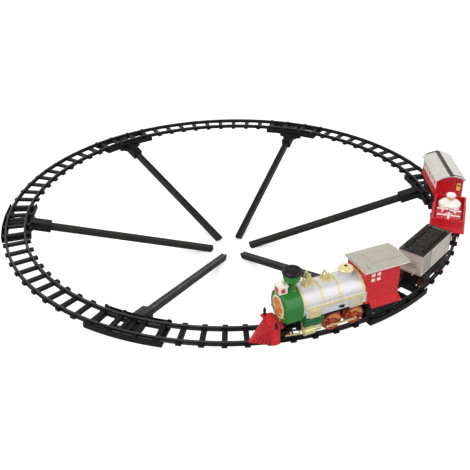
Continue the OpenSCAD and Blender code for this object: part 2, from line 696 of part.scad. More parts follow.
module cab_roof() {
  half = 30.5;
  top = [for (i = [-6 : 6]) [half * i / 6, 1.6 + 3.2 * (1 - pow(i / 6, 2))]];
  color("#B9B5A4") on_track(loco_angle) {
    translate([-103, 0, cab_top]) rotate([90, 0, 90]) linear_extrude(81)
      polygon(concat([[-half, 0]], top, [[half, 0]]));
    // raised panel along the crown, and the ridge ribs
    difference() {
      translate([-96, 0, cab_top]) rotate([90, 0, 90]) linear_extrude(52)
        polygon(concat([[-14, 2]], [for (i = [-4 : 4]) [14 * i / 4, 5.3 - 0.6 * pow(i / 4, 2)]], [[14, 2]]));
      translate([-92, -10, cab_top + 4.9]) cube([44, 20, 2]);
    }
    slab(-36, -33, 22, cab_top + 2, cab_top + 4.6);
  }
}

module motor() {
  color("#B8BABD") on_track(loco_angle) difference() {
    union() {
      rod_y(-18, 2.4, motor_r, pinion_x, pinion_z, 72);
      rod_y(2.4, 3.2, 3, pinion_x, pinion_z);
      rod_y(-19, -18, 4, pinion_x, pinion_z);
    }
    rod_y(-10, 5, 1.05, pinion_x, pinion_z, 32);
  }
}

module motor_pinion() {
  color("#E8E2D0") on_track(loco_angle) {
    gear_y(pinion_teeth, pinion_angle + 180, pinion_x, pinion_z);
    rod_y(-9, gear_y + gear_w + 1, 1, pinion_x, pinion_z, 32);
  }
}

module idler_gear() {
  color("#E8E2D0") on_track(loco_angle) {
    gear_y(idler_teeth, 270 + 180 / idler_teeth, idler_x, idler_z);
    rod_y(gear_y - 2.4, gear_y + gear_w + 2.4, axle_r, idler_x, idler_z);
    rod_y(gear_y - 0.4, gear_y + gear_w + 0.4, 3, idler_x, idler_z);
  }
}

module batteries() {
  cell_r = 7.1;
  color("#3A6EA5") on_track(loco_angle) for (y = [-15.5, 0, 15.5]) {
    rod_x(-84, -35, cell_r, y, deck_top + cell_r, 64);
    rod_x(-35, -34, 2.7, y, deck_top + cell_r, 40);
  }
}

module power_switch() {
  color("#191918") on_track(loco_angle) {
    translate([switch_x - 4.7, 28.4, switch_z - 2.2]) cube([5, 4, 4.4]);
    translate([switch_x - 6.6, 28.2, switch_z - 3.4]) cube([8.8, 0.9, 6.8]);
  }
}

// Spoked driving wheels with crank pins a quarter turn apart
module driver_wheelset(x) {
  spokes = 10;
  on_track(loco_angle) {
    color("#B5472C") difference() {
      wheel_pair(driver_r, 3, 5.4, x, driver_z);
      for (i = [0 : spokes - 1]) translate([x, 0, driver_z]) rotate([0, i * 360 / spokes, 0]) {
        for (s = [-1, 1]) translate([0, s > 0 ? 23 : -12, 0]) rotate([90, 0, 0]) linear_extrude(11)
          polygon([[6.6, -0.7], [12, -2.6], [12.3, 0], [12, 2.6], [6.6, 0.7]]);
      }
    }
    color("#D9C878") for (s = [-1, 1]) {
      a = crank_phase + (s > 0 ? 0 : 90);
      px = x + crank_r * cos(a);
      pz = driver_z + crank_r * sin(a);
      rod_y(s > 0 ? tread_out - 2 : -rod_out - 0.5, s > 0 ? rod_out + 0.5 : -tread_out + 2, 1.2, px, pz, 32);
      rod_y(s > 0 ? rod_out + 0.2 : -rod_out - 1.2, s > 0 ? rod_out + 1.2 : -rod_out - 0.2, 2.1, px, pz, 32);
      // balance weight opposite the crank
      translate([x, s > 0 ? tread_out + 0.6 : -tread_out + 1, driver_z]) rotate([90, 0, 0]) linear_extrude(1.6)
        intersection() {
          difference() {
            circle(13.4, $fn = 64);
            translate([crank_r * cos(a), crank_r * sin(a)]) circle(11.6, $fn = 64);
          }
          translate([-15 * cos(a), -15 * sin(a)]) circle(14, $fn = 64);
        }
    }
  }
}

module driver_wheelset_front() {
  driver_wheelset(driver_front_x);
}

module driver_wheelset_rear() {
  driver_wheelset(driver_rear_x);
  color("#E8E2D0") on_track(loco_angle) difference() {
    union() {
      gear_y(drive_teeth, 90, driver_rear_x, driver_z);
      rod_y(gear_y - 0.3, gear_y + gear_w + 0.3, 3.4, driver_rear_x, driver_z);
    }
    rod_y(0, 12, axle_r, driver_rear_x, driver_z);
  }
}

// Rod that joins the crank pins of one side; its front eye has play
module coupling_rod(s) {
  a = crank_phase + (s > 0 ? 0 : 90);
  x0 = driver_rear_x + crank_r * cos(a);
  x1 = driver_front_x + crank_r * cos(a);
  z = driver_z + crank_r * sin(a);
  y0 = s > 0 ? rod_in : -rod_out;
  y1 = s > 0 ? rod_out : -rod_in;
  color("#D9C878") on_track(loco_angle) difference() {
    union() {
      translate([x0, y0, z - 1.5]) cube([x1 - x0 + 9, y1 - y0, 3]);
      rod_y(y0, y1, 3.2, x0, z, 40);
      rod_y(y0, y1, 3.2, x1, z, 40);
      rod_y(y0, y1, 2.2, x1 + 9, z, 32);
    }
    rod_y(-30, 30, 1.2 + running, x0, z, 32);
    rod_y(-30, 30, 1.2 + 0.35, x1, z, 32);
    translate([x0 + 5, s > 0 ? y1 - 0.5 : y0 - 0.5, z - 0.6]) cube([x1 - x0 - 10, 1, 1.2]);
  }
}

module pilot_truck() {
  plate = [21.3, 22.9];
  color("#E3CF9A") on_track(pilot_angle) difference() {
    union() {
      slab(-6, 12, 11.4, 12, 18);
      slab(10.2, 12, plate[1], 5, 16);
      slab(-5, 5, 11.4, 4, 12.1);
      translate([-20, plate[0], 5]) cube([31, plate[1] - plate[0], 11]);
      translate([-4, -plate[1], 5]) cube([15, plate[1] - plate[0], 11]);
    }
    axle_bore(0, pilot_r + rail_gap, 12);
    // openings in the long side plate
    translate([-17, 20, 7.5]) cube([11, 5, 6]);
    translate([-3, 20, 7.5]) cube([9, 5, 6]);
  }
}

module pilot_wheelset() {
  color("#8E3A2A") on_track(pilot_angle) wheel_pair(pilot_r, 2, 3, 0, pilot_r + rail_gap);
}

// ---------------------------------------------------------------- wagons

// Frame of a wagon: spine, deck and ornamental side frames with journal boxes
module wagon_frame(half_len, deck_half) {
  difference() {
    union() {
      slab(-half_len, half_len, 11.2, 6, body_z);
      slab(-half_len, half_len, deck_half, body_z - 4, body_z);
      for (s = [-1, 1]) translate([0, s > 0 ? 24 : -22, 0]) rotate([90, 0, 0]) linear_extrude(2)
        difference() {
          polygon([[-half_len + 6, body_z - 2], [-half_len + 9, 14], [-half_base - 7, 8], [-half_base + 7, 8],
            [-half_base + 12, 17], [half_base - 12, 17], [half_base - 7, 8], [half_base + 7, 8],
            [half_len - 9, 14], [half_len - 6, body_z - 2]]);
          for (x = [-10, 0, 10]) translate([x - 3.5, 21]) square([7, 6]);
        }
      for (x = [-half_base, half_base]) for (s = [-1, 1])
        rod_y(s > 0 ? 23 : -25.2, s > 0 ? 25.2 : -23, 3.4, x, wheel_z, 40);
      side_slabs(-half_len, half_len, 20, 24, body_z - 4, body_z - 2);
    }
    for (x = [-half_base, half_base]) axle_bore(x, wheel_z, 12);
    for (x = [-18, 4]) translate([x, -12, 10]) cube([14, 24, 14]);
  }
}

module wagon_wheelset(ring_angle, x) {
  color("#8E2A24") on_track(ring_angle) wheel_pair(wheel_r, 2.2, 3.4, x, wheel_z);
}

module tender_body() {
  hl = tender_len / 2;
  hw = tender_w / 2;
  ledge = tender_top - 7;
  color("#C9BDB5") on_track(tender_angle) {
    difference() {
      union() {
        slab(-hl, hl, hw, body_z, tender_top);
        // rim and bottom moulding
        slab(-hl - 0.8, hl + 0.8, hw + 0.8, tender_top - 2.4, tender_top);
        slab(-hl - 0.8, hl + 0.8, hw + 0.8, body_z, body_z + 2.4);
        // ribs of the outer front panel, and the frames of the long panels
        for (i = [0 : 7]) translate([hl - 4 - i * 3, hw - 0.2, body_z + 4])
          cube([1.4, 0.9, tender_top - body_z - 8]);
        side_slabs(hl - 29.5, hl - 27.5, hw, hw + 1, body_z, tender_top);
        side_slabs(-hl, -hl + 2, hw, hw + 1, body_z, tender_top);
      }
      slab(-hl + 2, hl - 2, hw - 2, ledge, tender_top + 1);
      slab(-hl + 4, hl - 4, hw - 4, body_z + 2, ledge + 1);
    }
    // oval moulding on each side
    for (s = [-1, 1]) translate([-hl + 37, s * hw, (body_z + tender_top) / 2]) rotate([s > 0 ? -90 : 90, 0, 0])
      linear_extrude(1) difference() {
        hull() for (x = [-16, 16]) translate([x, 0]) circle(9, $fn = 48);
        hull() for (x = [-16, 16]) translate([x, 0]) circle(7.4, $fn = 48);
      }
    // tool box on the front footplate
    slab(hl, hl + 17, 15, 44, 47);
    slab(hl, hl + 3, 12, 47, 56);
    side_slabs(hl, hl + 16, 12, 14, 40, 44);
  }
}

module coal_load() {
  hl = tender_len / 2 - 2.05;
  hw = tender_w / 2 - 2.05;
  base = tender_top - 7;
  color("#2E2B27") on_track(tender_angle) {
    slab(-hl, hl, hw, base, tender_top - 1.6);
    // walkway boards along both sides, with battens
    side_slabs(-hl, hl - 8, 12.6, 13.6, tender_top - 1.6, tender_top + 1.4);
    for (i = [0 : 11]) side_slabs(-hl + 4 + i * 7, -hl + 6 + i * 7, 13.6, hw, tender_top - 1.6, tender_top + 0.6);
    // heaped coal, rows of blunt lumps
    for (i = [0 : 9], j = [-1 : 1])
      translate([-42 + i * 8.6 + 2 * sin(137 * i + 80 * j), j * 8 + 1.2 * cos(97 * i), tender_top - 1.6])
        rotate([0, 0, 47 * i + 31 * j]) cylinder(r1 = 4.6, r2 = 2.2, h = 2.4 + sin(71 * i + 50 * j), $fn = 5);
  }
}

module tender_chassis() {
  color("#191918") {
    on_track(tender_angle) wagon_frame(tender_len / 2 - 2, 20);
    coupling_tail(tender_angle + 6.2, tender_pin_angle);
    drawbar(loco_pin_angle, tender_angle - 6.2);
  }
}

// Flared skirt round a body's foot, open inside
module flared_skirt(half_len, half_w, top, foot, flare, wall) {
  difference() {
    hull() {
      slab(-half_len, half_len, half_w, top - 0.5, top);
      slab(-half_len - flare, half_len + flare, half_w + flare, foot, foot + 1.5);
    }
    hull() {
      slab(-half_len + wall, half_len - wall, half_w - wall, top - 1, top + 1);
      slab(-half_len - flare + wall, half_len + flare - wall, half_w + flare - wall, foot - 1, foot + 1.5);
    }
  }
}

module gift_wagon_body() {
  hl = gift_len / 2;
  hw = gift_w / 2;
  color("#C8202E") on_track(gift_angle) {
    difference() {
      union() {
        rounded_box(-hl, hl, hw, body_z, gift_top, 3);
        // rolled rim
        rounded_box(-hl - 0.8, hl + 0.8, hw + 0.8, gift_top - 2, gift_top, 3.6);
        for (i = [-5 : 5]) side_slabs(i * 8 - 1, i * 8 + 1, hw - 0.2, hw + 0.7, 39, gift_top - 1);
      }
      rounded_box(-hl + 2.4, hl - 2.4, hw - 2.4, body_z + 2.5, gift_top + 1, 2);
    }
    flared_skirt(hl - 0.5, hw - 0.5, 39, 29, 4, 1.4);
  }
}

// White sack, and wrapped parcels in front of it
module gift_load() {
  floor_z = body_z + 2.5;
  color("#EDEAE4") on_track(gift_angle) translate([-14, 0, 0]) rotate_extrude($fn = 64)
    polygon([[0, floor_z], [16, floor_z], [18.6, floor_z + 4], [19.6, 46], [19, 56], [16.4, 64], [12, 70],
      [6.4, 73.6], [0, 75.2]]);
  color("#C23A3A") on_track(gift_angle) {
    translate([8, -21, floor_z]) cube([14, 19, 21]);
    translate([8, 1, floor_z]) cube([14, 20, 19]);
    translate([25, -20, floor_z]) cube([21, 40, 19.5]);
  }
}

module gift_wagon_chassis() {
  color("#191918") {
    on_track(gift_angle) wagon_frame(gift_len / 2 + 1, 20);
    coupling_tail(gift_angle + 6, gift_pin_angle);
    drawbar(tender_pin_angle, gift_angle - 6);
  }
}

coach_windows = 5;

module coach_body() {
  hl = coach_len / 2;
  hw = coach_w / 2;
  pitch = (coach_len - 12) / coach_windows;
  color("#C8202E") on_track(coach_angle) difference() {
    union() {
      rounded_box(-hl, hl, hw, body_z, coach_eave, 2.5);
      // waist and sill mouldings, pillars between the windows
      rounded_box(-hl - 0.7, hl + 0.7, hw + 0.7, body_z, body_z + 2.5, 3);
      rounded_box(-hl - 0.7, hl + 0.7, hw + 0.7, 46, 47.6, 3);
      for (i = [0 : coach_windows]) side_slabs(-hl + 6 + i * pitch - 1.6, -hl + 6 + i * pitch + 1.6, hw - 0.2,
        hw + 0.7, body_z, coach_eave);
      // end platforms
      slab(-hl - 5, -hl, 12, body_z, body_z + 2);
      slab(hl, hl + 5, 12, body_z, body_z + 2);
    }
    translate([-hl + 2, -hw + 2, body_z + 2]) cube([coach_len - 4, coach_w - 4, 100]);
    for (i = [0 : coach_windows - 1]) translate([-hl + 6 + (i + 0.5) * pitch - 6, -hw - 2, 50])
      cube([12, coach_w + 4, 13]);
    // doorways in the ends
    for (s = [-1, 1]) translate([s * hl - 0.8, -5, 40]) cube([1.6, 10, 24]);
  }
  // end lamp on the outer side
  color("#E5CF78") on_track(coach_angle) {
    translate([hl - 0.5, 13, 47]) cube([2.5, 7, 15]);
    rod_x(hl - 0.5, hl + 2.8, 2, 16.5, 58, 40);
  }
}

module coach_roof() {
  half = 29.4;
  rise = 10.5;
  length = 118;
  arch = [for (i = [-8 : 8]) [half * i / 8, rise * (1 - pow(abs(i) / 8, 2.2))]];
  color("#CFCBC5") on_track(coach_angle) {
    difference() {
      translate([-length / 2, 0, coach_eave]) rotate([90, 0, 90]) linear_extrude(length)
        polygon(concat([[-half, 0]], [for (p = arch) [p[0], p[1] + 1.2]], [[half, 0]]));
      translate([-length / 2 + 4, 0, coach_eave - 1]) rotate([90, 0, 90]) linear_extrude(length - 8)
        polygon([[-22, 0], [22, 0], [14, 7], [-14, 7]]);
    }
    // ridge strip
    slab(-length / 2, length / 2, 3.6, coach_eave + rise, coach_eave + rise + 2.4);
  }
}

module coach_chassis() {
  color("#191918") {
    on_track(coach_angle) wagon_frame(coach_len / 2 - 2, 20);
    coupling_tail(coach_angle + 6.8, coach_pin_angle);
    drawbar(gift_pin_angle, coach_angle - 6.8);
  }
}

// ---------------------------------------------------------------- pieces

track_section(1);  // track_section_1
track_section(2);  // track_section_2
track_section(3);  // track_section_3
track_section(4);  // track_section_4
track_section(5);  // track_section_5
track_section(6);  // track_section_6
track_bracket(1);  // track_bracket_1
track_bracket(2);  // track_bracket_2
track_bracket(3);  // track_bracket_3
track_bracket(4);  // track_bracket_4
track_bracket(5);  // track_bracket_5
track_bracket(6);  // track_bracket_6
support_arm(1);  // support_arm_1
support_arm(2);  // support_arm_2
support_arm(3);  // support_arm_3
support_arm(4);  // support_arm_4
support_arm(5);  // support_arm_5
support_arm(6);  // support_arm_6
arm_bolts();
loco_chassis();
cowcatcher();
smokebox();
smokebox_door();
headlamp();
headlamp_lens();
chimney();
chimney_cap();
boiler();
boiler_trim();
steam_dome();
steam_chests();
cylinders();
cab();
cab_roof();
motor();
motor_pinion();
idler_gear();
batteries();
power_switch();
driver_wheelset_front();
driver_wheelset_rear();
coupling_rod(-1);  // coupling_rod_left
coupling_rod(1);  // coupling_rod_right
pilot_truck();
pilot_wheelset();
tender_body();
coal_load();
tender_chassis();
wagon_wheelset(tender_angle, half_base);  // tender_wheelset_front
wagon_wheelset(tender_angle, -half_base);  // tender_wheelset_rear
gift_wagon_body();
gift_load();
gift_wagon_chassis();
wagon_wheelset(gift_angle, half_base);  // gift_wheelset_front
wagon_wheelset(gift_angle, -half_base);  // gift_wheelset_rear
coach_body();
coach_roof();
coach_chassis();
wagon_wheelset(coach_angle, half_base);  // coach_wheelset_front
wagon_wheelset(coach_angle, -half_base);  // coach_wheelset_rear
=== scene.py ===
"""Looks of a model train set: a train on a round ladder track that brackets and sloping arms hold.

Lengths are in millimetres until a piece is finished, when its mesh is put in place in metres.
"""

import itertools
import json
import logging
import math
from dataclasses import dataclass, field
from enum import Enum

import bpy
from mathutils import Matrix, Vector

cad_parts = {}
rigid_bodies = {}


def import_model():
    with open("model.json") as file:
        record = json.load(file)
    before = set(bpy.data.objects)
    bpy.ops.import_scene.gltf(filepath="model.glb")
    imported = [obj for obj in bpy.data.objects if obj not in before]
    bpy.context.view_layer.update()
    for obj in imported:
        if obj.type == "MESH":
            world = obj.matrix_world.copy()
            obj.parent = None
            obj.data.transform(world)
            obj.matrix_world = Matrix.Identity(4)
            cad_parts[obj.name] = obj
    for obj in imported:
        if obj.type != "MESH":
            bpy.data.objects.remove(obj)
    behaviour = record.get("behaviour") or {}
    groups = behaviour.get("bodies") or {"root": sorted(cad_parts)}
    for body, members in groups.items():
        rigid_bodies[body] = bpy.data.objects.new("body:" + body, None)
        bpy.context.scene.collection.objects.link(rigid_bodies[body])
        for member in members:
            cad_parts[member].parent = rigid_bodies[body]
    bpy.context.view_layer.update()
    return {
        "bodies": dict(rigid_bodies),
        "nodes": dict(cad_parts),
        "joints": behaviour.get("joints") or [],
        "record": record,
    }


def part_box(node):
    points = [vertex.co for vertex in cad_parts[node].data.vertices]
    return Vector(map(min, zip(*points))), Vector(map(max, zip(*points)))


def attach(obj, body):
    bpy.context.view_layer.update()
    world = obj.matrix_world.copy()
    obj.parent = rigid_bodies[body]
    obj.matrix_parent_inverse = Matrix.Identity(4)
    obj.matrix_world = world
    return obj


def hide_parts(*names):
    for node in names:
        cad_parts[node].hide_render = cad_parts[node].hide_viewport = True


log = logging.getLogger("train_set")

MM = 0.001
TRACK_RADIUS = 432.0
TRACK_SECTIONS = 6


# ---- places


@dataclass(frozen=True)
class Place:
    """A frame of its own on the track: x forwards, y outwards from the ring, z up from the rail tops."""

    angle: float
    radius: float

    def matrix(self) -> Matrix:
        """Return the matrix from this place's millimetres to the model's metres."""
        turn = Matrix.Rotation(self.angle - math.pi / 2, 4, "Z")
        return Matrix.Scale(MM, 4) @ turn @ Matrix.Translation((0, self.radius, 0))


def place_of(joint_name: str, frame: dict, radius: float) -> Place:
    """Find where a vehicle stands from the axle that one of its joints turns on.

    Args:
        joint_name: The joint of one of the vehicle's wheelsets.
        radius: Radius of the track's centre line in millimetres.

    Returns:
        The vehicle's place, square to that axle.
    """
    joint = next(j for j in frame["joints"] if j["name"] == joint_name)
    x, y = joint["axis"][0], joint["axis"][1]
    return Place(math.atan2(y, x), radius)


# ---- colours and finishes


def linear(hex_colour: str) -> tuple[float, float, float, float]:
    """Turn an sRGB hex colour into the linear RGBA that the shader sockets take."""
    channels = [int(hex_colour[i : i + 2], 16) / 255 for i in (1, 3, 5)]
    curve = [c / 12.92 if c <= 0.04045 else ((c + 0.055) / 1.055) ** 2.4 for c in channels]
    return (curve[0], curve[1], curve[2], 1.0)


def add_node(tree: bpy.types.NodeTree, kind: str, settings: dict | None = None,
             links: dict | None = None) -> bpy.types.Node:
    """Add a shader node with its settings and links.

    Args:
        tree: The node tree that gets the node.
        kind: The node's type.
        settings: Attribute names to values, or input numbers and names to constant values.
        links: Input numbers or names to the output sockets that feed them.

    Returns:
        The new node.
    """
    node = tree.nodes.new(kind)
    for key, value in (settings or {}).items():
        if isinstance(key, int) or key in node.inputs:
            node.inputs[key].default_value = value
        else:
            setattr(node, key, value)
    for key, socket in (links or {}).items():
        tree.links.new(socket, node.inputs[key])
    return node


def calculate(tree: bpy.types.NodeTree, operation: str,
              *values: bpy.types.NodeSocket | float) -> bpy.types.NodeSocket:
    """Add a math node.

    Args:
        tree: The node tree that gets the node.
        operation: What the node works out.
        values: Its inputs in order, each an output socket or a number.

    Returns:
        The socket with the result.
    """
    sockets = {n: v for n, v in enumerate(values) if isinstance(v, bpy.types.NodeSocket)}
    numbers = {n: v for n, v in enumerate(values) if n not in sockets}
    return add_node(tree, "ShaderNodeMath", {"operation": operation, **numbers}, sockets).outputs[0]


class Measure(Enum):
    """What a band of a zone is measured along, in a place's own frame."""

    ALONG = "along"
    OUTWARD = "outward"
    ACROSS = "across"
    UP = "up"
    RADIUS_ALONG = "radius about an axis that lies along"


@dataclass(frozen=True)
class Band:
    """A range of one measure, in millimetres, with the axis's point where the measure is a radius."""

    measure: Measure
    low: float
    high: float
    centre: tuple[float, float] = (0.0, 0.0)


@dataclass(frozen=True)
class Zone:
    """A part of a surface that has a paint of its own, where all its bands hold."""

    colour: str
    bands: tuple[Band, ...]


# The part of a noise texture's range that its values fill.
NOISE_SPAN = {1: 0.3, 2: 0.7}
# How far patches go below and above a finish's roughness, and the smoothest that they get.
SMOOTHER, ROUGHER, SMOOTHEST = 0.06, 0.08, 0.02
COAT_ROUGHNESS = 0.12
GRAIN_DEPTH = 0.2 * MM


@dataclass(frozen=True)
class Finish:
    """One finish: what it is made of gives the shader values, and the making gives the pattern."""

    name: str
    colour: str
    roughness: float = 0.4
    metallic: float = 0.0
    ior: float = 1.46
    coat: float = 0.0
    mottle_mm: float = 9.0
    mottle: float = 0.06
    grain_mm: float = 0.5
    bump: float = 0.05
    zones: tuple[Zone, ...] = field(default=())

    def material(self, place: Place | None = None) -> bpy.types.Material:
        """Build the node material, with its zones measured from a place.

        Args:
            place: Whose frame the zones are measured in; not needed where there are no zones.

        Returns:
            The material.
        """
        mat = bpy.data.materials.new(self.name)
        mat.use_nodes = True
        tree = mat.node_tree
        tree.nodes.clear()
        coords = add_node(tree, "ShaderNodeTexCoord").outputs["Object"]
        patches, grain = (
            add_node(tree, "ShaderNodeTexNoise", {"Scale": 1 / (size * MM), "Detail": detail},
                     {"Vector": coords}).outputs["Fac"]
            for size, detail in ((self.mottle_mm, 3.0), (self.grain_mm, 2.0)))
        colour = self._paint(tree, coords, place)
        shade = add_node(tree, "ShaderNodeMapRange", {**NOISE_SPAN, 3: 1 - self.mottle, 4: 1 + self.mottle},
                         {0: patches}).outputs[0]
        tinted = add_node(tree, "ShaderNodeVectorMath", {"operation": "SCALE"}, {0: colour, "Scale": shade})
        rough_span = {3: max(self.roughness - SMOOTHER, SMOOTHEST), 4: self.roughness + ROUGHER}
        rough = add_node(tree, "ShaderNodeMapRange", {**NOISE_SPAN, **rough_span}, {0: patches})
        bump = add_node(tree, "ShaderNodeBump", {"Strength": self.bump, "Distance": GRAIN_DEPTH},
                        {"Height": grain})
        coat = {"Coat Weight": self.coat, "Coat Roughness": COAT_ROUGHNESS}
        shader = add_node(tree, "ShaderNodeBsdfPrincipled", {"Metallic": self.metallic, **coat},
                          {"Base Color": tinted.outputs[0], "Roughness": rough.outputs[0],
                           "Normal": bump.outputs[0]})
        if self.metallic == 0:
            shader.inputs["IOR"].default_value = self.ior
        add_node(tree, "ShaderNodeOutputMaterial", {}, {"Surface": shader.outputs[0]})
        return mat

    def _paint(self, tree: bpy.types.NodeTree, coords: bpy.types.NodeSocket,
               place: Place | None) -> bpy.types.NodeSocket:
        """Lay the zones' paints over the base colour.

        Args:
            tree: The material's node tree.
            coords: The object coordinates.
            place: The frame that the zones are measured in.

        Returns:
            The socket with the colour.
        """
        base = add_node(tree, "ShaderNodeRGB")
        base.outputs[0].default_value = linear(self.colour)
        colour = base.outputs[0]
        if not self.zones:
            return colour
        inverse = place.matrix().inverted()
        local = add_node(tree, "ShaderNodeMapping",
                         {"Location": inverse.to_translation(), "Rotation": inverse.to_euler(),
                          "Scale": inverse.to_scale()}, {"Vector": coords}).outputs[0]
        axes = list(add_node(tree, "ShaderNodeSeparateXYZ", {}, {0: local}).outputs)
        for zone in self.zones:
            factor = None
            for band in zone.bands:
                value = self._measured(tree, axes, band)
                middle, half = (band.low + band.high) / 2, (band.high - band.low) / 2
                inside = calculate(tree, "COMPARE", value, middle, half)
                factor = inside if factor is None else calculate(tree, "MULTIPLY", factor, inside)
            colour = add_node(tree, "ShaderNodeMix", {"data_type": "RGBA", 7: linear(zone.colour)},
                              {0: factor, 6: colour}).outputs[2]
        return colour

    def _measured(self, tree: bpy.types.NodeTree, axes: list, band: Band) -> bpy.types.NodeSocket:
        """Return the socket that holds a band's measure."""
        if band.measure is Measure.RADIUS_ALONG:
            squares = [calculate(tree, "POWER", calculate(tree, "SUBTRACT", axis, offset), 2.0)
                       for axis, offset in zip(axes[1:], band.centre)]
            return calculate(tree, "SQRT", calculate(tree, "ADD", *squares))
        if band.measure is Measure.ACROSS:
            return calculate(tree, "ABSOLUTE", axes[1])
        return axes[(Measure.ALONG, Measure.OUTWARD, Measure.UP).index(band.measure)]


GREEN = "#2B7A31"
GOLD = "#E6D8A0"
BLACK = "#141413"
CREAM = "#F0E4CC"
STRIP = "#35332F"

# Injection-moulded ABS, semi-gloss black: dark with broad grey highlights on its upper faces; the rail tops
# also get a lighter grey painted highlight.
TRACK_BLACK = Finish("abs_track_black", "#0E0E0D", roughness=0.42, mottle_mm=25, mottle=0.12, grain_mm=0.7)
# Steel tube with a satin enamel: slightly brown dark grey.
ARM_ENAMEL = Finish("enamel_arm_grey", "#24231F", roughness=0.34, mottle_mm=30, mottle=0.08, grain_mm=0.6)
# Zinc-plated steel screws.
SCREW_STEEL = Finish("zinc_plated_steel", "#9A9A98", roughness=0.35, metallic=1.0, mottle=0.1)
# Moulded black frames, a little duller than the track.
FRAME_BLACK = Finish("abs_frame_black", "#0F0F0E", roughness=0.5, mottle=0.1)
# Gloss red ABS: clear bright highlights.
BODY_RED = Finish("abs_gloss_red", "#CA1B25", roughness=0.26, coat=0.1, mottle=0.04, grain_mm=0.9, bump=0.03)
# Gloss green ABS, with broad soft highlights.
SMOKEBOX_GREEN = Finish("abs_gloss_green", GREEN, roughness=0.24, coat=0.15, mottle=0.05, grain_mm=0.9)
# The same ABS in a darker green.
CHEST_GREEN = Finish("abs_dark_green", "#1C6A38", roughness=0.3, coat=0.2, mottle=0.05)
# Pearl paint over ABS: silver that is nearly white where light falls on it.
BOILER_SILVER = Finish("pearl_silver_paint", "#D9D7D8", roughness=0.28, metallic=0.2, mottle=0.02,
                       mottle_mm=40, coat=0.1)
# Gold lacquer, pale and warm.
TRIM_GOLD = Finish("gold_lacquer", GOLD, roughness=0.28, metallic=0.35, mottle=0.05, coat=0.1)
# Orange gloss ABS of the smokebox door.
DOOR_ORANGE = Finish("abs_orange", "#DB7A3D", roughness=0.28, coat=0.2)
# Cream ABS, semi-gloss.
LAMP_CREAM = Finish("abs_cream", "#EFE7DA", roughness=0.3, coat=0.1)
# Red tinted polystyrene, moulded smooth.
LENS_RED = Finish("tinted_lens_red", "#D2333B", roughness=0.1, coat=0.6, mottle=0.02)
# Black ABS of the chimney's cap, satin.
CAP_BLACK = Finish("abs_cap_black", BLACK, roughness=0.4)
# Warm grey ABS of the cab roof, matt.
ROOF_BEIGE = Finish("abs_warm_grey", "#ABA798", roughness=0.4, mottle_mm=14)
# Nickel-plated steel of the motor's can.
MOTOR_CAN = Finish("nickel_plated_can", "#B9BBBD", roughness=0.25, metallic=1.0)
# Natural acetal gears, slightly waxy.
GEAR_WHITE = Finish("acetal_natural", "#E6E1D2", roughness=0.4)
# Shrink-sleeved steel cells, plain blue PVC.
CELL_BLUE = Finish("cell_sleeve_blue", "#3A6EA5", roughness=0.3)
# Orange-red ABS of the driving wheels.
DRIVER_ORANGE = Finish("abs_orange_red", "#B5472C", roughness=0.3, coat=0.2)
# Dark red ABS of the small wheels.
WHEEL_RED = Finish("abs_dark_red", "#5E231C", roughness=0.35)
# Warm pearl paint over ABS on the tender.
TENDER_SILVER = Finish("pearl_warm_paint", "#CFC8C1", roughness=0.3, metallic=0.2, mottle=0.03,
                       mottle_mm=30, coat=0.2)
# Moulded ABS coal, rough and nearly black.
COAL_BLACK = Finish("moulded_coal", "#2B2823", roughness=0.5, mottle_mm=5, mottle=0.3, grain_mm=1.2, bump=0.4)
# Soft white ABS of the sack and the ribbons.
BUNDLE_WHITE = Finish("abs_soft_white", "#EEEBE5", roughness=0.35, coat=0.1)
# Light grey ABS of the coach's roof.
COACH_ROOF = Finish("abs_light_grey", "#C9C6C0", roughness=0.35, mottle_mm=16)
# Cream pad print on ABS.
PANE_CREAM = Finish("printed_cream", "#F3D9C8", roughness=0.3, coat=0.1)
# Woven cotton cord, orange.
CORD_ORANGE = Finish("woven_cord_orange", "#E79A4A", roughness=0.6, grain_mm=0.9, bump=0.3)
# Red ABS of the moulded parcels, glossy as wrapping paper.
PARCEL_RED = Finish("paper_gloss_red", "#C62F3C", roughness=0.35, mottle_mm=4, coat=0.1)

FINISH_OF_SLOT = {
    "track_black": TRACK_BLACK, "arm_grey": ARM_ENAMEL, "bolt_steel": SCREW_STEEL, "frame_black": FRAME_BLACK,
    "body_red": BODY_RED, "smokebox_green": SMOKEBOX_GREEN, "chest_green": CHEST_GREEN,
    "door_orange": DOOR_ORANGE, "lamp_cream": LAMP_CREAM, "lens_red": LENS_RED, "cap_black": CAP_BLACK,
    "boiler_silver": BOILER_SILVER, "trim_gold": TRIM_GOLD, "cab_roof_beige": ROOF_BEIGE,
    "motor_steel": MOTOR_CAN, "gear_white": GEAR_WHITE, "cell_blue": CELL_BLUE,
    "driver_orange": DRIVER_ORANGE, "wheel_red": WHEEL_RED, "tender_silver": TENDER_SILVER,
    "coal_black": COAL_BLACK, "bundle_white": BUNDLE_WHITE, "coach_roof_grey": COACH_ROOF,
}


# ---- the studio


